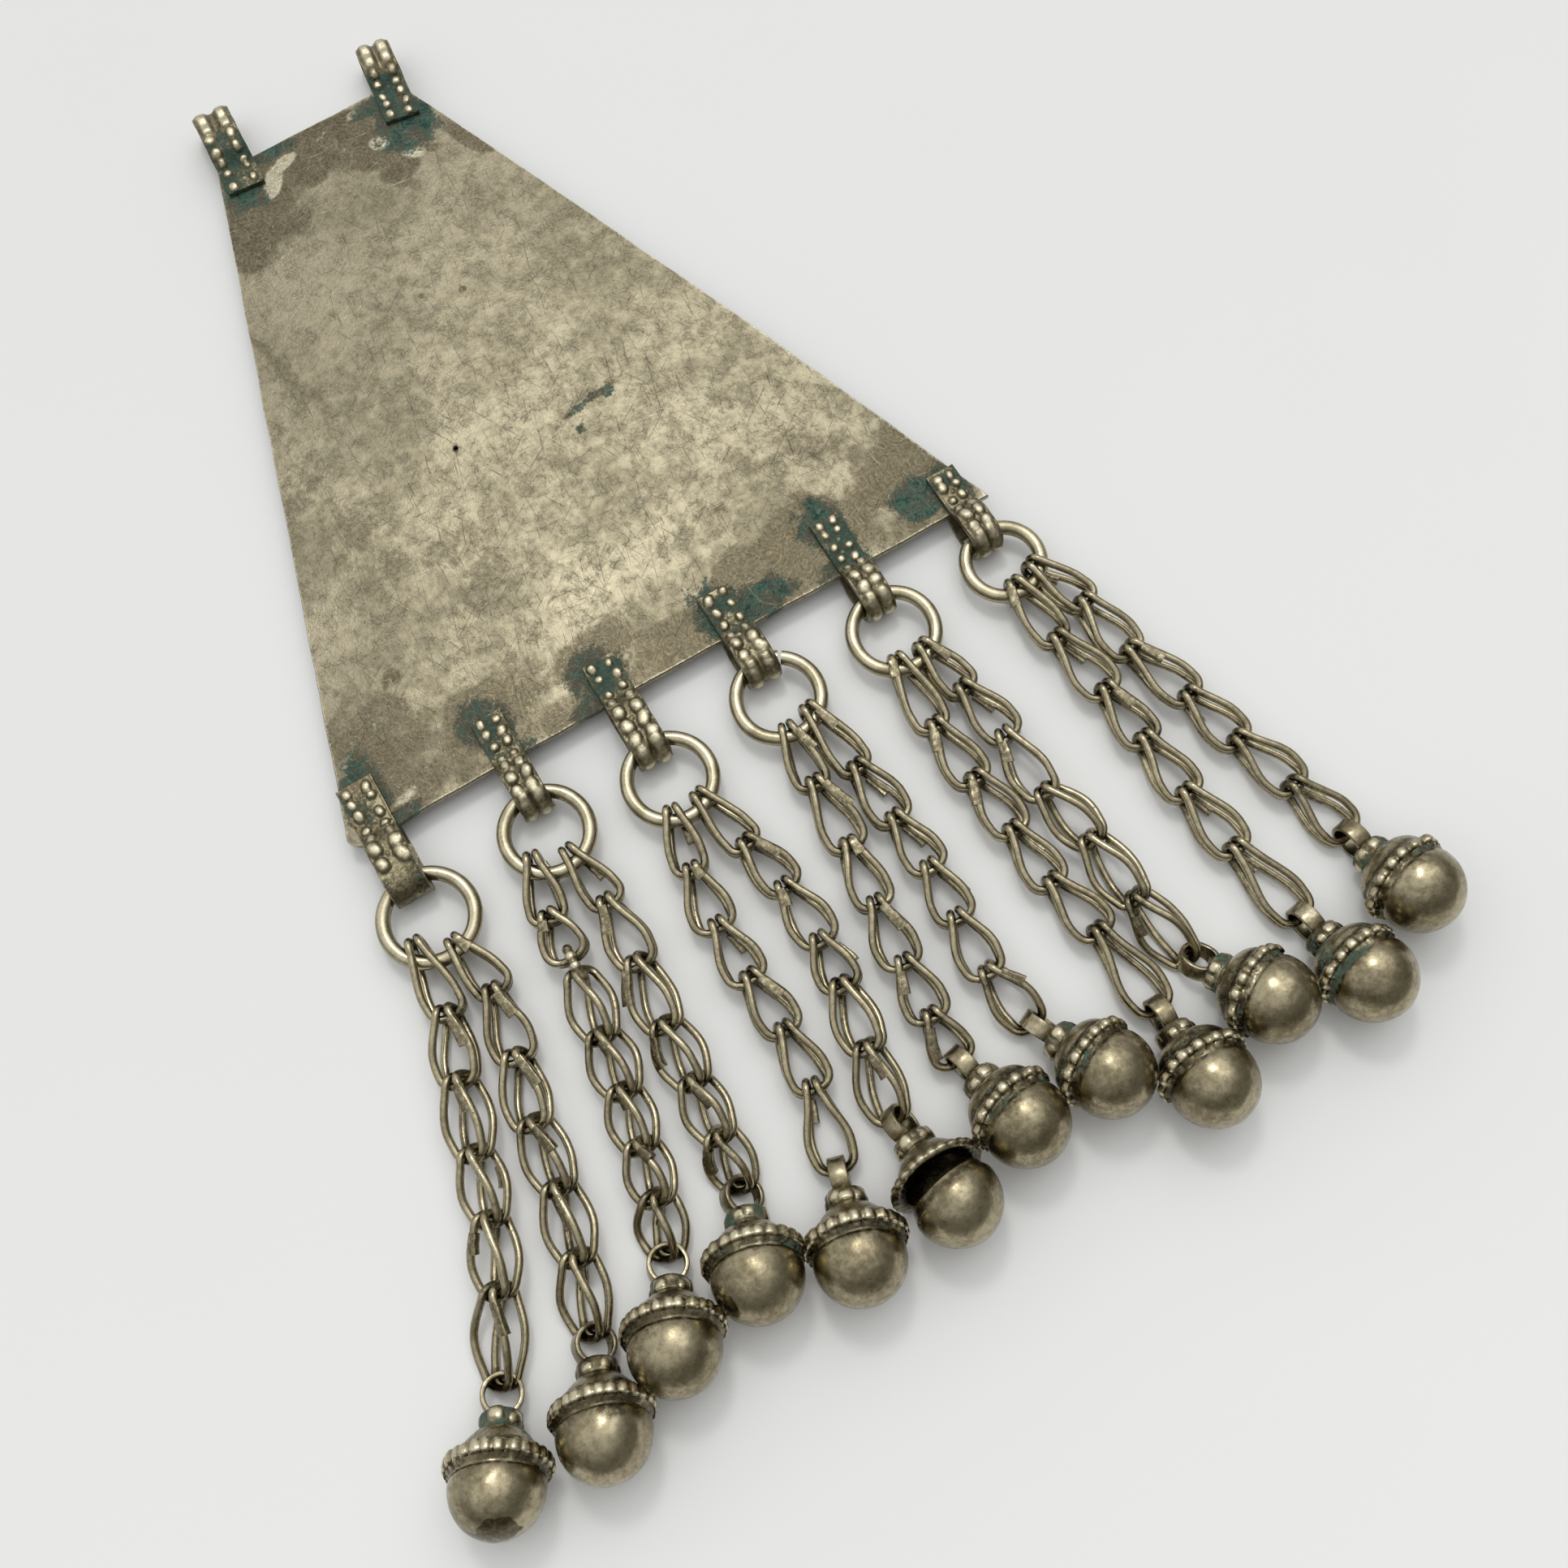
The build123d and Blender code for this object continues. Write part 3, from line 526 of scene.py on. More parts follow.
# Alpaca wire, drawn: smooth with slight brown tarnish; its bright line along the top and its darker underside are a
# painted highlight and painted shade from the ring's marks
ring_metal = patinated(
    "alpaca wire drawn", ("#aaa082", "#8a8167", "#5a503b", "#44604c", "#7f9a80", "#cfc5a9"),
    cloud_mm=5.0, speck_mm=0.4, rough=(0.2, 0.3), pit_mm=0.006, dotted=0.2)
# Alpaca wire, soldered: brown-grey, grimy where the links rub and at the laps, with a painted highlight on top and
# painted shade underneath from the chain's marks
link_metal = patinated(
    "alpaca wire soldered links", ("#b3a98c", "#8f856b", "#4c4534", "#3c5444", "#6f8872", "#d6ccb1"),
    cloud_mm=4.0, speck_mm=0.45, rough=(0.19, 0.28), pit_mm=0.01, dotted=0.2)
# Alpaca ball and cap, raised from sheet, with a beaded girdle: patchy shine, verdigris round the seams
bell_metal = patinated(
    "alpaca sheet raised bell", ("#aaa084", "#756b53", "#443d2d", "#2a4838", "#5f8372", "#d2c8ab"),
    cloud_mm=5.5, speck_mm=0.55, rough=(0.2, 0.33), pit_mm=0.014, contrast=0.9, dotted=0.35)
# Matt white card: no shine, so that only the soft shadows show
card = bpy.data.materials.new("white card matt")
card.use_nodes = True
card_tree = card.node_tree
card_tree.nodes.clear()
card_spot = add_node(card_tree, "ShaderNodeTexCoord", out="Object")
card_tone = add_node(card_tree, NOISE, {"Vector": card_spot, "Scale": 9.0, "Detail": 3.0})
card_colour = add_node(card_tree, MIX, {0: card_tone, 6: srgb("#eeeeed"), 7: srgb("#f2f2f1")}, 2,
                       data_type="RGBA")
card_face = add_node(card_tree, "ShaderNodeBsdfDiffuse", {"Color": card_colour, "Roughness": 0.6})
add_node(card_tree, "ShaderNodeOutputMaterial", {"Surface": card_face}, None)


# ---------------------------------------------------------------- plate
# Dark tarnish, verdigris and pale rubbed places, some of the pale ones a painted highlight: x, y, half length, half
# width, turn, strength
PLATE_STAINS = [
    (-6.0, 104.5, 10.0, 2.4, 0, 0.8), (-2.0, 101.5, 9.0, 4.0, -4, 0.85), (-8.0, 100.5, 13.0, 4.2, -12, 0.85),
    (4.5, 93.5, 3.6, 6.0, -30, 0.9), (0.5, 97.5, 7.0, 4.0, -20, 0.95),
    (-15.5, 95.5, 5.5, 4.2, 50, 0.95), (-20.5, 93.5, 6.5, 3.6, 74, 0.95), (-14.5, 92.0, 4.5, 2.4, 25, 0.75),
    (15.4, 91.5, 4.5, 1.5, -65, 0.8), (9.8, 92.7, 0.9, 0.7, 0, 1.2), (2.4, 68.5, 0.6, 0.5, 0, 1.2),
    (-3.4, 70.5, 0.6, 0.5, 0, 1.0), (12.5, 6.0, 7.5, 4.8, 20, 0.9), (25.0, 7.0, 12.0, 5.6, 10, 0.95),
    (43.0, 9.0, 9.0, 9.0, 0, 1.0), (35.0, 18.0, 8.0, 3.0, -35, 0.5), (3.0, 3.0, 9.0, 4.5, 0, 0.75),
    (-12.0, 2.0, 11.0, 3.5, 0, 0.7), (-28.0, 2.0, 9.0, 4.0, 0, 0.6), (-43.0, 8.0, 6.0, 4.5, 40, 0.7),
    (-38.0, 12.0, 9.0, 5.0, -20, 0.6), (-33.9, 19.0, 1.6, 1.2, 0, 0.9), (-46.5, 20.0, 1.6, 9.0, 6, 0.45),
    (-26.0, 70.0, 1.2, 14.0, 14, 0.5), (30.0, 40.0, 1.4, 12.0, 22, 0.35), (9.5, 43.0, 6.0, 1.0, 8, 0.5),
    (-17.0, 25.0, 6.0, 4.0, 60, 0.42), (-19.0, 32.0, 5.0, 3.5, 20, 0.4), (-30.0, 45.0, 5.0, 16.0, 14, 0.4),
    (-9.0, 8.0, 8.0, 4.0, 5, 0.78), (-24.5, 8.5, 10.0, 4.6, 0, 0.82), (20.0, 20.0, 10.0, 2.5, 25, 0.4),
    (-38.0, 4.0, 10.0, 3.0, 0, 0.6),
    (0.0, 2.5, 48.0, 4.0, 0, 0.6), (34.0, 9.0, 16.0, 5.0, 0, 0.5), (-20.0, 12.0, 12.0, 2.5, 8, 0.4),
]
PLATE_GREENS = [
    (14.5, 3.0, 5.5, 2.6, 0, 0.75), (8.7, 4.0, 3.4, 5.4, 8, 0.7), (-10.0, 5.5, 3.8, 4.4, 0, 0.62),
    (-12.5, 1.0, 3.4, 1.2, 0, 0.62), (-26.5, 6.5, 3.6, 4.4, 0, 0.62), (-24.5, 0.9, 4.0, 1.2, 0, 0.5),
    (-45.0, 6.5, 3.6, 5.6, 0, 0.55), (-41.2, 1.2, 2.6, 1.4, 0, 0.6), (40.8, 4.5, 3.6, 3.2, 30, 0.66),
    (46.0, 4.0, 3.2, 4.0, 0, 0.6), (27.8, 8.0, 3.8, 4.6, 0, 0.7), (27.5, 1.5, 5.0, 1.8, 0, 0.55),
    (-12.2, 105.2, 4.6, 1.5, -4, 0.75), (-17.6, 101.0, 3.6, 4.2, 0, 0.68), (8.6, 99.0, 5.4, 4.8, 0, 0.75),
    (4.5, 104.3, 3.5, 1.6, 0, 0.6), (9.5, 42.6, 4.6, 0.6, 12, 0.52), (6.0, 39.0, 0.9, 0.8, 0, 0.6),
    (12.5, 42.5, 1.4, 1.0, 30, 0.5), (-37.0, 60.0, 0.8, 4.0, 12, 0.3),
]
PLATE_RUBBED_AND_HIGHLIGHT = [
    (-13.6, 99.8, 1.5, 2.9, -38, 0.95), (-10.8, 102.2, 2.7, 1.1, 20, 0.9), (-3.6, 103.6, 1.6, 0.5, 20, 0.5),
    (3.7, 97.8, 1.9, 1.3, 0, 0.75), (7.0, 93.6, 2.0, 1.4, -20, 0.75), (2.4, 104.6, 1.4, 0.8, 20, 0.7),
    # The broad pale patches round (-4.9, 18.9), (10, 24) and (22, 22) are a painted highlight where the window lamp
    # reflects in the plate
    (-4.9, 18.9, 13.0, 7.0, 35, 0.34), (10.0, 24.0, 14.0, 6.0, 30, 0.26), (-8.6, 65.6, 1.4, 0.14, 5, 0.9),
    (-1.0, 71.9, 0.8, 0.12, 60, 0.7), (-40.0, 3.0, 3.0, 1.0, 20, 0.5), (22.0, 22.0, 9.0, 4.0, 20, 0.28),
]


def plate_sheet():
    """The trapezoid sheet, a little uneven, with hand-cut edges, as points, faces and marks."""
    across = np.concatenate(([0, 0.0016], np.linspace(0.008, 0.992, 128), [0.9984, 1]))
    along = np.concatenate(([0, 0.0015], np.linspace(0.008, 0.992, 138), [0.9985, 1]))
    s, t = np.meshgrid(across, along)
    s, t = s.ravel()[:, None], t.ravel()[:, None]
    half, top = PLATE_WIDE / 2, PLATE_NARROW / 2
    ll, lr = np.array((-half, 0.0)), np.array((half, 0.0))
    ur = np.array((PLATE_LEAN + top, PLATE_TALL + TOP_SLOPE))
    ul = np.array((PLATE_LEAN - top, PLATE_TALL - TOP_SLOPE))
    out = unit(np.array((ur[1] - lr[1], lr[0] - ur[0])))
    low = ll + (lr - ll) * s + np.array((0, LOWER_BOW)) * 4 * s * (1 - s)
    high = ul + (ur - ul) * s
    left = ll + (ul - ll) * t
    right = lr + (ur - lr) * t + out * RIGHT_BOW * 4 * t * (1 - t)
    flat = (1 - t) * low + t * high + (1 - s) * left + s * right
    flat -= (1 - s) * (1 - t) * ll + s * (1 - t) * lr + (1 - s) * t * ul + s * t * ur
    cut = np.maximum(0, CORNER_CLIP - (flat[:, 0] - ll[0]) - flat[:, 1])
    flat += cut[:, None] / 2
    deep = np.c_[flat, np.zeros(len(flat))]
    flat[:, 0] += wobble(deep, 6.0, 1) * 0.1 + wobble(deep, 1.7, 2) * 0.04
    flat[:, 1] += wobble(deep, 6.0, 3) * 0.1 + wobble(deep, 1.7, 4) * 0.04
    edge = ((s == 0) | (s == 1) | (t == 0) | (t == 1)).ravel()
    swell = wobble(deep, 24.0, 5) * 0.06 + wobble(deep, 7.0, 6) * 0.025
    upper = np.c_[flat, plate_back_z + swell - 0.16 * edge]
    lower = np.c_[flat, plate_back_z - PLATE_THICK + swell + 0.1 * edge]
    nx, ny = len(across), len(along)
    grid = np.arange(nx * ny).reshape(ny, nx)
    quads = np.stack((grid[:-1, :-1], grid[:-1, 1:], grid[1:, 1:], grid[1:, :-1]), -1).reshape(-1, 4)
    faces = [tuple(q) for q in quads.tolist()] + [tuple(reversed(q)) for q in (quads + nx * ny).tolist()]
    rim = np.concatenate((grid[0, :], grid[1:, -1], grid[-1, -2::-1], grid[-2:0:-1, 0])).tolist()
    faces += [(b, a, a + nx * ny, b + nx * ny) for a, b in zip(rim, rim[1:] + rim[:1])]
    points = np.vstack((upper, lower))
    marks = dict(stain=spots(points, PLATE_STAINS, 0.35, 11, grain=4.5),
                 verdigris=spots(points, PLATE_GREENS, 0.5, 21, grain=2.0),
                 worn=spots(points, PLATE_RUBBED_AND_HIGHLIGHT, 0.6, 31, grain=3.0, ragged=0.2))
    # The outermost rows of the cut edge are painted lighter: partly wear, partly a painted highlight where the edge
    # catches the light
    rough_edge = np.minimum(np.minimum(s, 1 - s) * 70, np.minimum(t, 1 - t) * 106).ravel()
    bright = np.tile(0.5 * (rough_edge < 0.3), 2)
    marks["worn"] = np.maximum(marks["worn"], bright)
    return points, faces, marks


sheet = add_piece("plate_sheet", *plate_sheet(), "plate_silver", sheet_metal, sharp=40)
bpy.context.view_layer.update()
drill_points = [np.array((PINHOLE_AT[0] + PINHOLE_D / 2 * cos(a), PINHOLE_AT[1] + PINHOLE_D / 2 * sin(a), z))
                for z in (plate_back_z - 2, plate_back_z + 2) for a in np.arange(24) * pi / 12]
drill = in_scene("drill", shell("drill", np.array(drill_points), tube_faces(2, 24), {}))
hole = sheet.modifiers.new("pinhole", "BOOLEAN")
hole.operation, hole.solver, hole.object = "DIFFERENCE", "EXACT", drill
drilled = bpy.data.meshes.new_from_object(sheet.evaluated_get(bpy.context.evaluated_depsgraph_get()))
sheet.modifiers.clear()
sheet.data = drilled
bpy.data.objects.remove(drill)


# ---------------------------------------------------------------- beaded strips
def strip_relief(u2, v2, leg, far, wide, round_bend, seed, lobes):
    """Height of a strip's beads and long lobes, and how much of each point is bead top."""
    rng = np.random.default_rng(seed)
    beaded = leg + far + (EYE_HALF if round_bend else -EYE_HALF * 1.5)
    if lobes:
        beaded = leg + far - LOBE_LONG
    rows = round(beaded / BEAD_PITCH)
    top = np.zeros_like(u2)
    lift = np.zeros_like(u2)
    for n in range(rows):
        for side in (-1, 1):
            cu = (n + 0.5 + rng.uniform(-0.22, 0.22)) * beaded / rows
            big = rng.uniform(0.85, 1.12) * (0.84 + 0.34 * float(step(cu, leg, leg + 4)))
            cv = side * (wide / 2 - 1.2 + rng.uniform(-0.14, 0.14))
            a = rng.uniform(-0.5, 0.5)
            du, dv = u2 - cu, v2 - cv
            far_u = (du * cos(a) + dv * sin(a)) / (1.0 * big * rng.uniform(0.9, 1.2))
            far_v = (dv * cos(a) - du * sin(a)) / (0.92 * big * rng.uniform(0.85, 1.0))
            d = (np.abs(far_u) ** 2.3 + np.abs(far_v) ** 2.3) ** (1 / 2.3)
            dome = np.clip(1 - d**2.4, 0, 1) ** 0.62
            tilt = 1 + 0.22 * (rng.uniform(-1, 1) * far_u + rng.uniform(-1, 1) * far_v)
            lift = np.maximum(lift, dome * tilt * rng.uniform(0.42, 0.6) * big**0.5)
            top = np.maximum(top, dome)
        if rng.random() < 0.3:
            # A small stray bead between two rows
            cu = (n + 1 + rng.uniform(-0.2, 0.2)) * beaded / rows
            d = np.hypot(u2 - cu, v2 - rng.uniform(-0.4, 0.4)) / rng.uniform(0.35, 0.5)
            dome = np.clip(1 - d**2, 0, 1) ** 0.7
            lift = np.maximum(lift, dome * 0.22)
            top = np.maximum(top, dome * 0.7)
    if round_bend:
        before, after, broad, high, bright = (5.4, 3.2, 1.0, 0.62, 1.0) if lobes else (2.9, 1.2, 0.85, 0.46, 0.85)
        start, end = leg + far - before, leg + far + after
        ridge = hump(np.abs(v2), wide / 2 - 1.3, broad, 4) * step(u2, start, start + 1.4)
        ridge *= 1 - step(u2, end, end + 1.4)
        lift = np.maximum(lift, ridge * (high + 0.1 * np.sin(u2 * 2.6 + seed)))
        top = np.maximum(top, bright * ridge)
    return lift, top


def beaded_strip(edge_point, outward, leg, reach, wide, round_bend, seed, green, lobes=False):
    """A hairpin of stamped strip: worn beads in two rows on its back, thin rims, a plain inner face.
    lobes: the bend has two long smooth lobes in place of beads, and the green reaches up to them."""
    far = reach - STRIP_THICK / 2
    flat = rounded(
        [(-leg, 0, leg_rise), (-0.5, 0, leg_rise), (RAMP, 0, EYE_HALF), (far, 0, EYE_HALF),
         (far, 0, -EYE_HALF), (RAMP, 0, -EYE_HALF), (-0.5, 0, -leg_rise), (-UNDER_LEG, 0, -leg_rise)],
        [RAMP, RAMP, bend_r, bend_r, RAMP, RAMP], 0.16)
    run = np.gradient(flat, axis=0)
    run /= np.linalg.norm(run, axis=1)[:, None]
    u = run_along(flat)
    v = np.linspace(-1, 1, 37)
    u2, v2 = np.meshgrid(u, v * wide / 2, indexing="ij")
    lift, top = strip_relief(u2, v2, leg, far, wide, round_bend, seed, lobes)
    rim = step(np.abs(v2), wide / 2 - 0.42, wide / 2 - 0.12) * 0.12
    grain = np.c_[u2.ravel(), v2.ravel(), np.full(u2.size, seed * 7.7)]
    uneven = (wobble(grain, 1.3, seed) * 0.05 + wobble(grain, 0.5, seed + 1) * 0.03).reshape(u2.shape)
    lift = lift + rim + uneven
    edge = 1 + 0.025 * wobble(np.c_[u, u * 0, u * 0 + seed], 1.6, seed + 2)
    side = np.array((0.0, 1.0, 0.0))
    up = np.column_stack((-run[:, 2], np.zeros(len(run)), run[:, 0]))
    outer = (flat[:, None, :] + side * (v2 * edge[:, None])[:, :, None]
             + up[:, None, :] * (STRIP_THICK / 2 - 0.1 * (np.abs(v[None, :, None]) > 0.99) + lift[:, :, None]))
    vin = np.linspace(1, -1, 7) * wide / 2
    inner = (flat[:, None, :] + side * (vin[None, :] * edge[:, None])[:, :, None] - up[:, None, :] * STRIP_THICK / 2)
    local = np.concatenate((outer, inner), axis=1)
    count = local.shape[1]
    cross = np.cross(outward, (0, 0, 1))
    points = (np.asarray(edge_point) + local[:, :, :1] * outward + local[:, :, 1:2] * cross
              + local[:, :, 2:] * np.array((0, 0, 1.0))).reshape(-1, 3)
    pad = np.zeros((len(u), 7))
    bare = np.concatenate((top, pad), axis=1).ravel()
    soldered = step(-np.abs(u2 - leg * 0.5), -leg * 0.75, -leg * 0.2)
    if lobes:
        soldered = 1 - step(u2, leg + far - 6.6, leg + far - 3.6)
    hollow = np.concatenate((1 - top, pad + 0.6), axis=1).ravel()
    rim_worn = np.concatenate((step(np.abs(v2), wide / 2 - 0.3, wide / 2 - 0.05), pad), axis=1).ravel()
    patch = wobble(points, 2.4, seed + 5) * 0.3
    onset = np.concatenate((soldered, pad + 0.3), axis=1).ravel()
    greens = (0.12 + green * onset + patch) * hollow
    marks = dict(stain=0.4 * hollow + 0.5 * patch, verdigris=greens,
                 worn=np.maximum(0.62 * bare**1.5 + patch * 0.3, 0.5 * rim_worn + patch * 0.5))
    return points, tube_faces(len(u), count), marks


for number, row in enumerate(HANGERS, 1):
    strip = beaded_strip((row["x"], 0, plate_mid_z), level(-90), row["leg"], row["reach"], row["wide"],
                         row["round_bend"], 40 + number, row["green"])
    add_piece(f"hanger_{number}", *strip, "plate_silver", strip_metal, sharp=60)
for number, row in enumerate(BAILS, 1):
    edge_y = PLATE_TALL + TOP_SLOPE * row["along"] / (PLATE_NARROW / 2)
    strip = beaded_strip((PLATE_LEAN + row["along"], edge_y, plate_mid_z), level(90 - row["lean"]), row["leg"],
                         row["reach"], row["wide"], True, 60 + number, row["green"], lobes=True)
    add_piece(f"bail_{row['side']}", *strip, "plate_silver", strip_metal, sharp=60)
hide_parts("plate")


# ---------------------------------------------------------------- wire by geometry nodes
def wire_tree():
    """Geometry nodes that draw round wire along lines, slightly uneven as hand-drawn wire is."""
    tree = bpy.data.node_groups.new("drawn wire", "GeometryNodeTree")
    for name, kind in (("Lines", "NodeSocketGeometry"), ("Gauge mm", "NodeSocketFloat"), ("Facets", "NodeSocketInt"),
                       ("Uneven mm", "NodeSocketFloat"), ("Uneven grain mm", "NodeSocketFloat"),
                       ("Metal", "NodeSocketMaterial")):
        tree.interface.new_socket(name=name, in_out="INPUT", socket_type=kind)
    tree.interface.new_socket(name="Wire", in_out="OUTPUT", socket_type="NodeSocketGeometry")
    given = add_node(tree, "NodeGroupInput", out=None).outputs
    line = add_node(tree, "GeometryNodeMeshToCurve", {"Mesh": given["Lines"]})
    thick = add_node(tree, MATH, {0: given["Gauge mm"], 1: MM / 2}, operation="MULTIPLY")
    section = add_node(tree, "GeometryNodeCurvePrimitiveCircle", {"Resolution": given["Facets"], "Radius": thick})
    wire = add_node(tree, "GeometryNodeCurveToMesh", {"Curve": line, "Profile Curve": section, "Fill Caps": True})
    grain = add_node(tree, MATH, {0: 1 / MM, 1: given["Uneven grain mm"]}, operation="DIVIDE")
    noise = add_node(tree, NOISE, {"Scale": grain, "Detail": 2.0})
    swing = add_node(tree, MATH, {0: noise, 1: -0.5}, operation="ADD")
    depth = add_node(tree, MATH, {0: given["Uneven mm"], 1: MM * 2}, operation="MULTIPLY")
    swing = add_node(tree, MATH, {0: swing, 1: depth}, operation="MULTIPLY")
    normal = add_node(tree, "GeometryNodeInputNormal")
    offset = add_node(tree, VECTOR, {0: normal, "Scale": swing}, operation="SCALE")
    wire = add_node(tree, "GeometryNodeSetPosition", {"Geometry": wire, "Offset": offset})
    for kind, extra in (("GeometryNodeSetShadeSmooth", {}), ("GeometryNodeRealizeInstances", {}),
                        ("GeometryNodeSetMaterial", {"Material": given["Metal"]})):
        wire = add_node(tree, kind, {"Geometry": wire, **extra})
    add_node(tree, "NodeGroupOutput", {"Wire": wire}, None)
    return tree


drawn_wire = wire_tree()


def drawn(lines, closed, gauge, facets, uneven, grain, metal):
    """Wire along the given lines (millimetres, plate's frame) as points and faces."""
    points = (np.vstack(lines) - ORIGIN) * MM
    edges, base = [], 0
    for line in lines:
        count = len(line)
        edges += [(base + k, base + (k + 1) % count) for k in range(count if closed else count - 1)]
        base += count
    mesh = bpy.data.meshes.new("wire lines")
    mesh.from_pydata(points.tolist(), edges, [])
    holder = in_scene("wire lines", mesh)
    bend = holder.modifiers.new("drawn wire", "NODES")
    bend.node_group = drawn_wire
    values = {"Gauge mm": gauge, "Facets": facets, "Uneven mm": uneven, "Uneven grain mm": grain, "Metal": metal}
    for socket in drawn_wire.interface.items_tree:
        if socket.in_out == "INPUT" and socket.name in values:
            bend[socket.identifier] = values[socket.name]
    done = bpy.data.meshes.new_from_object(holder.evaluated_get(bpy.context.evaluated_depsgraph_get()))
    bpy.data.objects.remove(holder)
    flat = np.empty(len(done.vertices) * 3, np.float32)
    done.vertices.foreach_get("co", flat)
    return flat.reshape(-1, 3).astype(float) / MM + ORIGIN, [tuple(face.vertices) for face in done.polygons]


# ---------------------------------------------------------------- rings
ring_centres = {}
for number, row in enumerate(HANGERS, 1):
    ring_r = (row["outer"] - RING_WIRE) / 2
    bend_mid = row["reach"] - STRIP_THICK / 2 - bend_r
    play = sqrt((bend_r - STRIP_THICK / 2 - RING_WIRE / 2 - RING_CLEAR) ** 2 - RING_LIFT**2)
    hung = bend_mid + play + sqrt(ring_r**2 - (row["wide"] / 2 + abs(row["shift"])) ** 2)
    centre = np.array((row["x"] + row["shift"], -hung, ring_z))
    ring_centres[number] = centre * (1, 1, 0)
    mouth = 0 if row["mouth"] is None else RING_MOUTH / ring_r
    start = radians(row["mouth"] or 0) + mouth / 2
    turns = start + np.linspace(0, 2 * pi - mouth, 160, endpoint=bool(mouth))
    egg = 1 + 0.006 * np.cos(2 * turns + number) + 0.003 * np.cos(3 * turns + 2 * number)
    line = centre + ring_r * egg[:, None] * np.column_stack((np.cos(turns), np.sin(turns), np.zeros(len(turns))))
    points, faces = drawn([line], not mouth, RING_WIRE, 24, 0.02, 2.5, ring_metal)
    # Painted shade darkens the underside of the wire and a painted highlight lightens its top, over random tarnish
    # and wear
    ring_underside_shade = step(-points[:, 2], -ring_z + 0.1, -ring_z + 0.9)
    marks = dict(stain=0.5 * ring_underside_shade + 0.22 * wobble(points, 2.5, 70 + number),
                 worn=0.5 * step(points[:, 2], ring_z + 0.3, ring_z + 0.95) + 0.2 * wobble(points, 1.5, 80 + number))
    add_piece(f"ring_wire_{number}", points, faces, marks, "ring_silver", ring_metal, [f"ring_{number}"], sharp=55)


# ---------------------------------------------------------------- chains
def link_line(axes, head, long, belly, roll, seed):
    """Middle line of one link: a closed wire folded double, its head hooked and its tail a wide bow."""
    rng = np.random.default_rng(seed)
    turned = abs(sin(radians(roll)))
    belly_z = belly_height(roll)
    tail = TAIL_HALF + 0.2 - 0.7 * turned
    loops = []
    for z, share in ((1, rng.uniform(1.06, 1.2)), (-1, rng.uniform(0.88, 1.02))):
        wide = (belly + 0.3) * share
        skew = rng.uniform(-0.2, 0.2) - 0.3 * turned * z
        belly_x = (BELLY_AT - 0.22 * turned + rng.uniform(-0.04, 0.06)) * long
        neck_x = rng.uniform(0.24, 0.32) * long
        neck = head_half + rng.uniform(0.35, 0.65) + 1.1 * turned
        neck_z = belly_z + (HOOP - belly_z) * 0.62
        loops.append([(0, head_half, HOOP * z), (neck_x, neck + skew * 0.4, neck_z * z),
                      (belly_x, wide + skew, belly_z * z), (long, tail, tail_rise * z),
                      (long, -tail, tail_rise * z), (belly_x, -wide + skew, belly_z * z),
                      (neck_x, -neck + skew * 0.4, neck_z * z), (0, -head_half, HOOP * z)])
    points = loops[0] + loops[1][::-1]
    radii = [1.25, 8.0, 9.0, tail - 0.05, tail - 0.05, 9.0, 8.0, 1.25]
    plain = rounded(points, radii * 2, 0.3, close=True)
    ends, middle = eased(plain, 0.45), eased(plain, 1.5)
    between = step(np.minimum(plain[:, 0], long - plain[:, 0]), 0.6, 3.0)[:, None]
    line = head + (ends + (middle - ends) * between) @ axes
    low = WIRE / 2 + 0.04
    line[:, 2] = low + np.logaddexp(0, (line[:, 2] - low) / 0.12) * 0.12
    return line


def belly_height(roll):
    """How far a link's two loops stand apart at the belly: a link that lies on its side is sprung open."""
    return tail_rise + (HOOP - tail_rise) * (0.4 + 0.75 * abs(sin(radians(roll))))


def lying_height(roll, belly):
    """Height of a link's middle line when it lies on the floor, rolled by an angle."""
    c, s = abs(cos(radians(roll))), abs(sin(radians(roll)))
    return WIRE / 2 + 0.05 + max(HOOP * c + head_half * s, belly * s + belly_height(roll) * c * 0.8)


def lap(axes, line, head, side, start, length, layer, seed):
    """The flat soldered lap of a link's wire ends: a short strap along one strand, cut square."""
    local = (line - head) @ axes.T
    strand = local[(local[:, 2] * layer > 0) & (local[:, 1] * side > 0) & (local[:, 0] > 0.3)]
    strand = strand[np.argsort(strand[:, 0])]
    run = run_along(strand)
    at = np.linspace(start, min(start + length, run[-1] - 0.2), LAP_STATIONS)
    mid = np.column_stack([np.interp(at, run, strand[:, k]) for k in range(3)])
    rng = np.random.default_rng(seed)
    inward = -side * rng.choice((1.0, 1.0, -0.6))
    mid[:, 1] += np.linspace(0.22, 0.5, LAP_STATIONS) * inward
    mid[:, 2] += layer * 0.06
    section = np.array([flat_section(wide, LAP_THICK, LAP_ROUND)
                        for wide in np.linspace(LAP_START, LAP_END, LAP_STATIONS)])
    points, faces = swept(mid, (0, 1, 0), section)
    points += 0.05 * shaken(points, 0.7, seed)
    return head + points @ axes, faces


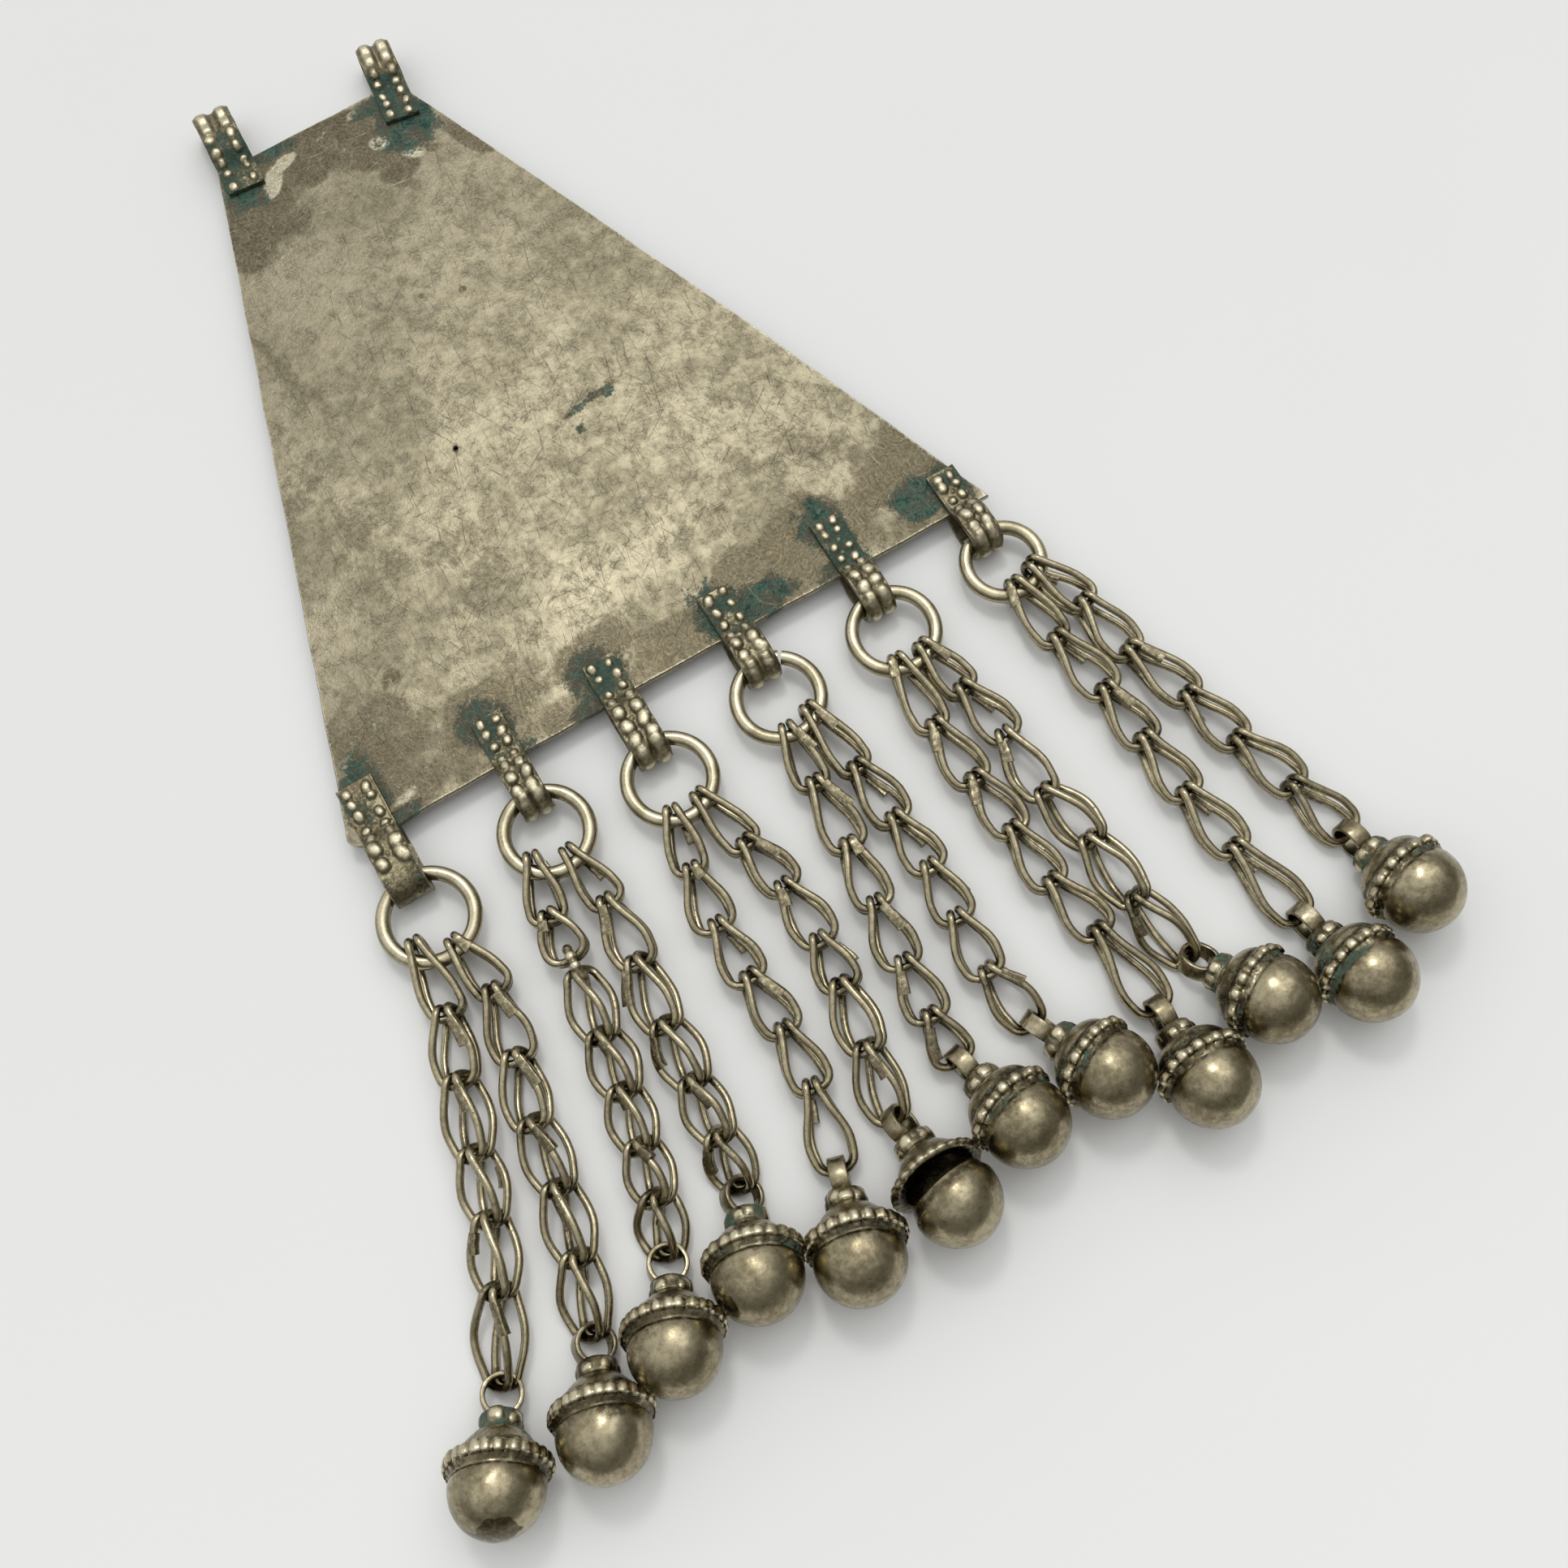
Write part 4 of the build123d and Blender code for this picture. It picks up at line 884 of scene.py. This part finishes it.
def tie_loop(axes, near):
    """The thick wound loop that joins two links, ridged on top, with a knob at its far end."""
    far = TIE_LONG - TIE_WIRE
    high = (TIE_TALL - TIE_WIRE) / 2
    line = rounded([(0, 0, high), (far, 0, high), (far, 0, -high), (0, 0, -high)], [high - 0.01] * 4, 0.12,
                   close=True)
    x, z = line[:, 0], line[:, 2]
    ridge = step(z, 0.3, high) * (0.5 + 0.5 * np.cos((x - 0.3) * 2 * pi / 1.35))
    knob = hump(x, far * 0.93, 0.8) * step(z, -0.5, 0.6)
    r = TIE_WIRE / 2 * (0.86 + 0.22 * ridge + 0.16 * knob)
    turns = np.arange(TIE_FACETS) * 2 * pi / TIE_FACETS
    section = np.stack((np.cos(turns)[None, :] * r[:, None] * 1.08, np.sin(turns)[None, :] * r[:, None]), -1)
    points, faces = swept(line, (0, 1, 0), section, closed=True)
    worn = np.repeat(step(ridge, 0.3, 0.9), TIE_FACETS)
    return near + points @ axes, faces, dict(stain=0.5 * (1 - worn), worn=worn * 0.9)


chain_plans = {}
for number, row in enumerate(CHAINS, 1):
    ring_centre = ring_centres[row["ring"]]
    rolls = [min(roll, ROLL_MOST) for roll in row["rolls"]]
    bellies = [BELLY_FIRST] + [BELLY] * (len(row["heads"]) - 1)
    heads = [ring_centre + np.array((x, y, lying_height(roll, belly)))
             for (x, y), roll, belly in zip(row["heads"], rolls, bellies)]
    heads[0][2] = ring_z
    heads[1][2] = (heads[1][2] + ring_z) / 2
    back = level(row["aim"])
    tilt, dip = radians(TILTS[number - 1]), radians(EYE_DIP)
    ball_z = BELL_GAP + GIRDLE_OUT * cos(tilt) + GIRDLE_X * sin(tilt)
    down = unit(back * -cos(tilt) + np.array((0, 0, sin(tilt))))
    ball = ring_centre + np.array((*row["bell"], ball_z))
    dipped = back * cos(dip) - np.array((0, 0, sin(dip)))
    eye_end = ball - down * EYE_ROOT + dipped * (EYE_X + eye_mid - EYE_ROOT)
    stops = heads + [eye_end]
    lines, parts, ends = [], [], []
    for n, head in enumerate(heads):
        target = stops[n + 1]
        extra = tail_in
        if n + 1 < len(heads):
            target = target - unit(stops[n + 2] - target) * (TAIL_HALF - hook)
            extra = TAIL_HALF
        tied = number == TIE_CHAIN and n + 1 == TIE_AFTER
        if tied:
            target = stops[n + 1]
            extra = 2 * tie_hook - (TIE_LONG - TIE_WIRE)
        along = unit(target - head)
        long = np.linalg.norm(target - head) + extra
        axes = rolled(along, rolls[n])
        line = link_line(axes, head, long, bellies[n], rolls[n], 1000 + number * 20 + n)
        lines.append(line)
        ends += [head, head + along * long]
        for at, side, start, length, layer in LAPS.get(number, ()):
            if at == n + 1:
                points, faces = lap(axes, line, head, side, start, length, layer, 500 + number * 20 + n)
                parts.append((points, faces, dict(stain=0.5, verdigris=0.16)))
        if tied:
            parts.append(tie_loop(rolled(along, 0), head + along * (long - tie_hook)))
    points, faces = drawn(lines, True, WIRE + WIRE_SWELL, WIRE_FACETS, 0.035, 1.4, link_metal)
    touch = np.min([np.linalg.norm(points - end, axis=1) for end in ends], axis=0)
    grime = 0.62 * (1 - step(touch, 1.2, 3.2)) + 0.3 * wobble(points, 2.0, 90 + number)
    # Painted shade darkens the low parts of each link and a painted highlight lightens its high parts; the dark near
    # the hooks is grime at the joints
    link_underside_shade = step(-points[:, 2], -chain_z + 0.2, -chain_z + 2.5)
    marks = dict(stain=grime + 0.3 * link_underside_shade, verdigris=0.14 + 0.22 * wobble(points, 3.0, 110 + number),
                 worn=(0.22 * step(points[:, 2], chain_z + 0.6, chain_z + 2.6)
                       + 0.25 * wobble(points, 1.2, 130 + number)))
    points, faces, marks = joined([(points, faces, marks)] + parts)
    points[:, 2] = np.maximum(points[:, 2], LINK_LIFT)
    add_piece(f"chain_links_{number}", points, faces, marks, "chain_silver", link_metal, [f"chain_{number}"],
              sharp=50)
    hang = rolled(down, row["rolls"][-1])
    chain_plans[number] = (ball, np.array((-down, np.cross(hang[2], -down), hang[2])), tilt - dip)


# ---------------------------------------------------------------- bells
# Each bell: beads round the girdle, how far they stand out, then how green the girdle, cap and collar are
BELLS = {
    1: (26, 0.8, 0.45, 0.5, 0.6), 2: (27, 0.55, 0.35, 0.25, 0.25), 3: (27, 0.85, 0.4, 0.15, 0.3),
    4: (24, 0.7, 0.45, 0.35, 0.6), 5: (25, 0.8, 0.35, 0.15, 0.3), 6: (26, 0.6, 0.1, 0.15, 0.3),
    7: (16, 1.5, 0.65, 0.35, 0.3), 8: (17, 1.4, 0.55, 0.35, 0.45), 9: (16, 1.4, 0.4, 0.25, 0.2),
    10: (16, 1.55, 0.6, 0.25, 0.6), 11: (17, 1.4, 0.85, 0.35, 0.45), 12: (16, 1.6, 0.5, 0.5, 0.8),
}
# Dark blots on some balls: turn about the bell's axis and angle from its eye, in degrees, and radius
BLOTS = {1: [(200, 168, 2.4), (60, 150, 1.6)], 4: [(80, 130, 1.6)]}


def lathe(profile):
    """Grids of x, radius and angle of a surface about the X axis through the profile's (x, r) stations."""
    x2, a2 = np.meshgrid(profile[:, 0], np.arange(BELL_TURNS) * 2 * pi / BELL_TURNS, indexing="ij")
    return x2, np.repeat(profile[:, 1:], BELL_TURNS, axis=1), a2


def about_axis(x2, r2, a2):
    """Points of a lathe's grids."""
    return np.stack((x2, r2 * np.cos(a2), r2 * np.sin(a2)), -1)


def girdle_relief(x2, a2, beads, proud, band_high, rng):
    """Height of the girdle's band and beads, and how much of each point is bead top."""
    middle = GIRDLE_X + FLANGE / 2
    band = hump(x2, middle, 1.1, 6) * band_high
    top = np.zeros_like(x2)
    lift = np.zeros_like(x2)
    at = (np.arange(beads) + rng.uniform(-0.17, 0.17, beads)) * 2 * pi / beads
    pitch = 2 * pi * girdle_r / beads
    for angle in at:
        turn = (a2 - angle + pi) % (2 * pi) - pi
        wide = min(pitch * rng.uniform(0.44, 0.54), 0.86)
        d = (np.abs(turn * girdle_r / wide) ** 2.2
             + np.abs((x2 - middle - rng.uniform(-0.12, 0.12)) / (GIRDLE_BEAD * rng.uniform(0.9, 1.1))) ** 2.4)
        d = d ** (1 / 2.3)
        dome = np.clip(1 - d**2.5, 0, 1) ** 0.6
        lift = np.maximum(lift, dome * rng.uniform(0.4, 0.56) * proud)
        top = np.maximum(top, dome)
    return band + lift, top


def collar_relief(x2, a2, rng):
    """Height of the collar's irregular lumps, and how much of each point is lump top."""
    top = np.zeros_like(x2)
    lift = np.zeros_like(x2)
    count = rng.integers(5, 8)
    at = (np.arange(count) + rng.uniform(-0.25, 0.25, count)) * 2 * pi / count
    for angle in at:
        turn = (a2 - angle + pi) % (2 * pi) - pi
        big = rng.uniform(0.7, 1.15)
        d = (np.abs(turn * NECK_R / (1.1 * big)) ** 3
             + np.abs((x2 - NECK_X - COLLAR_LONG * 0.5 - rng.uniform(-0.35, 0.35)) / (0.85 * big)) ** 2.4)
        d = d ** (1 / 2.7)
        dome = np.clip(1 - d**2.2, 0, 1) ** 0.55
        lift = np.maximum(lift, dome * 0.32 * big)
        top = np.maximum(top, dome)
    return lift, top


def bell_stations(kind, bulge):
    """The (x, r) stations of a bell's outer face: the whole bell, only its cup, or only its cap."""
    seam_r = sqrt(BELL_R**2 - GIRDLE_X**2)
    rows = []
    if kind in ("whole", "cup"):
        end = atan2(seam_r, GIRDLE_X)
        rows += [(BELL_R * cos(a), BELL_R * sin(a)) for a in np.linspace(pi - 0.03, end, 52)]
    if kind in ("whole", "cap"):
        start = np.array((GIRDLE_X + 0.16, seam_r + CAP_STEP))
        neck = np.array((NECK_X, NECK_R))
        out = np.array((neck[1] - start[1], start[0] - neck[0]))
        out = -out / np.linalg.norm(out)
        share = np.linspace(0, 1, 34)[:, None]
        rows += [tuple(p) for p in start + (neck - start) * share + out * bulge * 4 * share * (1 - share)]
        collar_r = NECK_R - COLLAR_IN
        for x in np.linspace(NECK_X + 0.16, NECK_X + COLLAR_LONG - 0.12, 15):
            rows.append((x, collar_r))
        rows += [(NECK_X + COLLAR_LONG, collar_r - 0.2), (NECK_X + COLLAR_LONG + 0.03, collar_r * 0.6),
                 (NECK_X + COLLAR_LONG + 0.04, 0.15)]
    return np.array(rows)


def bell_marks(x2, points, bead_top, lump_top, greens, seed, ball_blots):
    """Patina of a bell: verdigris and grime beside the girdle, on the cap and round the collar."""
    girdle_green, cap_green, collar_green = greens
    near = hump(x2, GIRDLE_X - 0.75, 0.75).ravel()
    above = hump(x2, GIRDLE_X + 1.3, 0.6).ravel()
    on_cap = (step(x2, GIRDLE_X + 0.9, GIRDLE_X + 1.8) * (1 - step(x2, NECK_X - 0.3, NECK_X + 0.2))).ravel()
    on_collar = step(x2, NECK_X - 0.5, NECK_X + 0.3).ravel()
    tops = np.maximum(bead_top, lump_top).ravel()
    patch = wobble(points, 2.6, seed) * 0.5
    patch2 = wobble(points, 3.4, seed + 3) * 0.5
    fine = wobble(points, 0.9, seed + 4) * 0.25
    green = (girdle_green * (near + 0.4 * above) * (0.6 + patch * 1.7) + cap_green * on_cap * (0.6 + patch2 * 1.8)
             + collar_green * on_collar * (0.65 + patch * 1.3)) * (1 - 0.85 * tops) + fine * 0.5
    spill = hump(x2, GIRDLE_X - 1.9, 1.5).ravel() * np.clip(0.35 + patch * 2.2, 0, 1)
    grime = (0.56 * near + 0.6 * above + 0.3 * on_cap + 0.55 * on_collar + 0.42 * spill) * (1 - 0.7 * tops)
    grime += patch2 * 0.6 + fine * 0.4
    ball = (x2 < GIRDLE_X - 1.4).ravel()
    for lon, lat, size in ball_blots:
        centre = BELL_R * np.array((cos(radians(lat)), sin(radians(lat)) * cos(radians(lon)),
                                    sin(radians(lat)) * sin(radians(lon))))
        reach = np.linalg.norm(points - centre, axis=1) / size + fine
        grime = np.maximum(grime, 0.95 * (1 - step(reach, 0.8, 1.15)) * ball)
    worn = 0.66 * tops**1.6 + ball * (0.14 + 0.5 * patch) - 0.3 * spill + 0.1 * on_cap
    return dict(stain=grime, verdigris=green, worn=worn)


def surface_points(x2, r2, a2, lift):
    """Points of a lathe surface raised along its own normals."""
    dx, dr = np.gradient(x2, axis=0), np.gradient(r2, axis=0)
    size = np.hypot(dx, dr)
    nx, nr = -dr / size, dx / size
    return about_axis(x2 + nx * lift, r2 + nr * lift, a2)


def eye_strap(seed):
    """The bell's strip eye: a flat strap bent to a D and soldered into the collar."""
    rng = np.random.default_rng(seed)
    turns = np.radians(np.linspace(-138, 138, 60))
    arc = np.column_stack((EYE_X + eye_mid * np.cos(turns), 0 * turns, eye_mid * np.sin(turns)))
    low, high = arc[0].copy(), arc[-1].copy()
    low[0] = high[0] = NECK_X + COLLAR_LONG - 0.5
    line = even(np.vstack((low, arc, high)), 0.2)
    wide = EYE_WIDE * (1 + 0.05 * np.sin(np.linspace(0, 6, len(line)) + rng.uniform(0, 6)))
    section = np.array([flat_section(w, EYE_THICK, 0.14) for w in wide])
    points, faces = swept(line, (0, 1, 0), section)
    points += 0.03 * shaken(points, 1.1, seed)
    low_end = 1 - step(points[:, 0], NECK_X + COLLAR_LONG - 0.2, NECK_X + COLLAR_LONG + 1.3)
    patch = wobble(points, 1.5, seed + 6)
    return points, faces, dict(stain=0.35 * low_end + 0.25 * patch, verdigris=0.45 * low_end + 0.15 * patch,
                               worn=0.3 + 0.3 * patch)


def inset_stations(kind, stations):
    """The inner face of an open bell's cup or cap, from its rim inward for the cup and outward for the cap."""
    back = stations[::-1]
    if kind == "cup":
        share = (BELL_R - BELL_WALL) / BELL_R
        return np.array([(x * share if x < 0 else x, r * share) for x, r in back])
    inset = [(NECK_X - 0.9, 0.1)]
    inset += [(x - BELL_WALL * 0.25, max(r - BELL_WALL, 0.1)) for x, r in back if x < NECK_X - 0.4]
    inset[-1] = (GIRDLE_X + 0.16, inset[-1][1])
    return np.array(inset)


def bell_parts(number):
    """All shells of one bell in its own axes."""
    beads, proud, *greens = BELLS[number]
    rng = np.random.default_rng(200 + number)
    seed = 300 + number * 9
    bulge, band_high = (CAP_BULGE, 0.95) if number < FIRST_ROUND else (ROUND_CAP, 0.35)
    shells = []
    for kind in ("cup", "cap") if number == OPEN_BELL else ("whole",):
        stations = bell_stations(kind, bulge)
        stations = even(np.column_stack((stations, np.zeros(len(stations)))), BELL_PITCH)[:, :2]
        x2, r2, a2 = lathe(stations)
        base = about_axis(x2, r2, a2).reshape(-1, 3)
        lift, bead_top = np.zeros_like(x2), np.zeros_like(x2)
        if kind != "cup":
            lift, bead_top = girdle_relief(x2, a2, beads, proud, band_high, rng)
        lumps, lump_top = collar_relief(x2, a2, rng)
        uneven = (wobble(base, 5.0, seed) * 0.07 + wobble(base, 1.6, seed + 1) * 0.025
                  + wobble(base, 0.7, seed + 2) * 0.012)
        fuller = 0.26 * (1 - step(x2, 0.2, 1.4)) + 0.12 * step(x2, NECK_X - 0.1, NECK_X + 0.3)
        outer = surface_points(x2, r2, a2, lift + lumps + fuller + uneven.reshape(x2.shape))
        walls = [(outer, bell_marks(x2, base, bead_top, lump_top, greens, seed, BLOTS.get(number, [])))]
        if number == OPEN_BELL:
            # The sprung bell also shows the inside of its walls, which is dark
            inner = about_axis(*lathe(inset_stations(kind, stations)))
            plain = np.zeros(inner[..., 0].size)
            walls.append((inner, dict(stain=plain + 1, verdigris=plain, worn=plain)))
        if kind == "cap":
            walls.reverse()
        body = np.concatenate([wall for wall, _ in walls])
        marks = {mark: np.concatenate([given[mark] for _, given in walls]) for mark in MARKS}
        points = body.reshape(-1, 3)
        if kind == "cup":
            hinge = np.array((GIRDLE_X, 0, -girdle_r + BELL_WALL))
            a = radians(-OPEN_ANGLE)
            spin = np.array(((cos(a), 0, sin(a)), (0, 1, 0), (-sin(a), 0, cos(a))))
            points = hinge + (points - hinge) @ spin.T
        shells.append((points, tube_faces(len(body), BELL_TURNS), marks))
    shells.append(eye_strap(700 + number))
    return shells


for number in BELLS:
    centre, axes, kink = chain_plans[number]
    shells = bell_parts(number)
    eye, up = shells[-1][0], unit(axes[:, 2] * (0, 1, 1))
    run, rise = eye[:, 0] - EYE_ROOT, eye @ up
    eye += np.outer(run * (cos(kink) - 1) - rise * sin(kink), (1, 0, 0))
    eye += np.outer(rise * (cos(kink) - 1) + run * sin(kink), up)
    points, faces, marks = joined(shells)
    world = centre + points @ axes
    world[:, 2] = np.maximum(world[:, 2], BELL_LIFT)
    add_piece(f"bell_round_{number}", world, faces, marks, "bell_silver", bell_metal, [f"bell_{number}"])


# ---------------------------------------------------------------- floor, light and camera
FLOOR_HALF = 2
floor = bpy.data.meshes.new("floor")
floor.from_pydata([(x * FLOOR_HALF, y * FLOOR_HALF, 0) for x, y in ((-1, -1), (1, -1), (1, 1), (-1, 1))], [],
                  [(0, 1, 2, 3)])
floor.materials.append(card)
ground = in_scene("floor", floor)


def soft_light(name, spot, aim, wide, power, colour):
    """A round soft box at a spot, turned to face a point."""
    lamp = bpy.data.lights.new(name, "AREA")
    lamp.shape, lamp.size, lamp.energy, lamp.color = "DISK", wide, power, colour
    holder = in_scene(name, lamp)
    holder.location = spot
    holder.rotation_euler = (Vector(aim) - Vector(spot)).to_track_quat("-Z", "Y").to_euler()


soft_light("window", spot=(0.085, 0.30, 0.66), aim=(0.0, 0.02, 0.0), wide=0.14, power=0.8,
           colour=(1.0, 0.985, 0.96))

world = bpy.data.worlds.new("pale room")
bpy.context.scene.world = world
world.use_nodes = True
room = world.node_tree
room.nodes.clear()
look = add_node(room, "ShaderNodeTexCoord", out="Generated")
# Bright toward the window, dim behind the camera, so that round metal shows a light line and a dark side;
# then a broad window pane, high and to the right, that lights the tops of the balls and wires
toward, pane = (
    add_node(room, RANGE,
             {"Value": add_node(room, VECTOR, {0: look, 1: way}, 1, operation="DOT_PRODUCT"),
              "From Min": low, "From Max": high, "To Min": start, "To Max": end},
             interpolation_type="SMOOTHSTEP")
    for way, low, high, start, end in (((-0.1, 0.5, 0.86), 0.05, 0.95, 0.0, 1.0),
                                       ((0.36, 0.31, 0.88), 0.86, 0.97, 1.12, 2.3)))
sky = add_node(room, MIX, {0: toward, 6: srgb("#7f7e7a"), 7: srgb("#f2f3f4")}, 2, data_type="RGBA")
glow = add_node(room, "ShaderNodeBackground", {"Color": sky, "Strength": pane})
add_node(room, "ShaderNodeOutputWorld", {"Surface": glow}, None)

bpy.context.scene.view_settings.view_transform = "Standard"

# The photograph's own view: its place in millimetres in the plate's frame, the view's right and down
# directions, and the focal length and width of the picture in its pixels
EYE_AT = np.array((-24.226, -74.905, 202.964))
VIEW_RIGHT = Vector((0.85827, -0.51293, -0.01681))
VIEW_DOWN = Vector((-0.49531, -0.81932, -0.28876))
VIEW_AHEAD = VIEW_RIGHT.cross(VIEW_DOWN)
FOCAL_PX, PICTURE_PX = 1936, 1932
lens = bpy.data.cameras.new("camera")
lens.sensor_width = 36.0
lens.lens = lens.sensor_width * FOCAL_PX / PICTURE_PX
lens.clip_start = 0.01
camera = in_scene("camera", lens)
turn = Matrix((VIEW_RIGHT, -VIEW_DOWN, -VIEW_AHEAD)).transposed().to_4x4()
camera.matrix_world = Matrix.Translation(Vector((EYE_AT - ORIGIN) * MM)) @ turn
bpy.context.scene.camera = camera
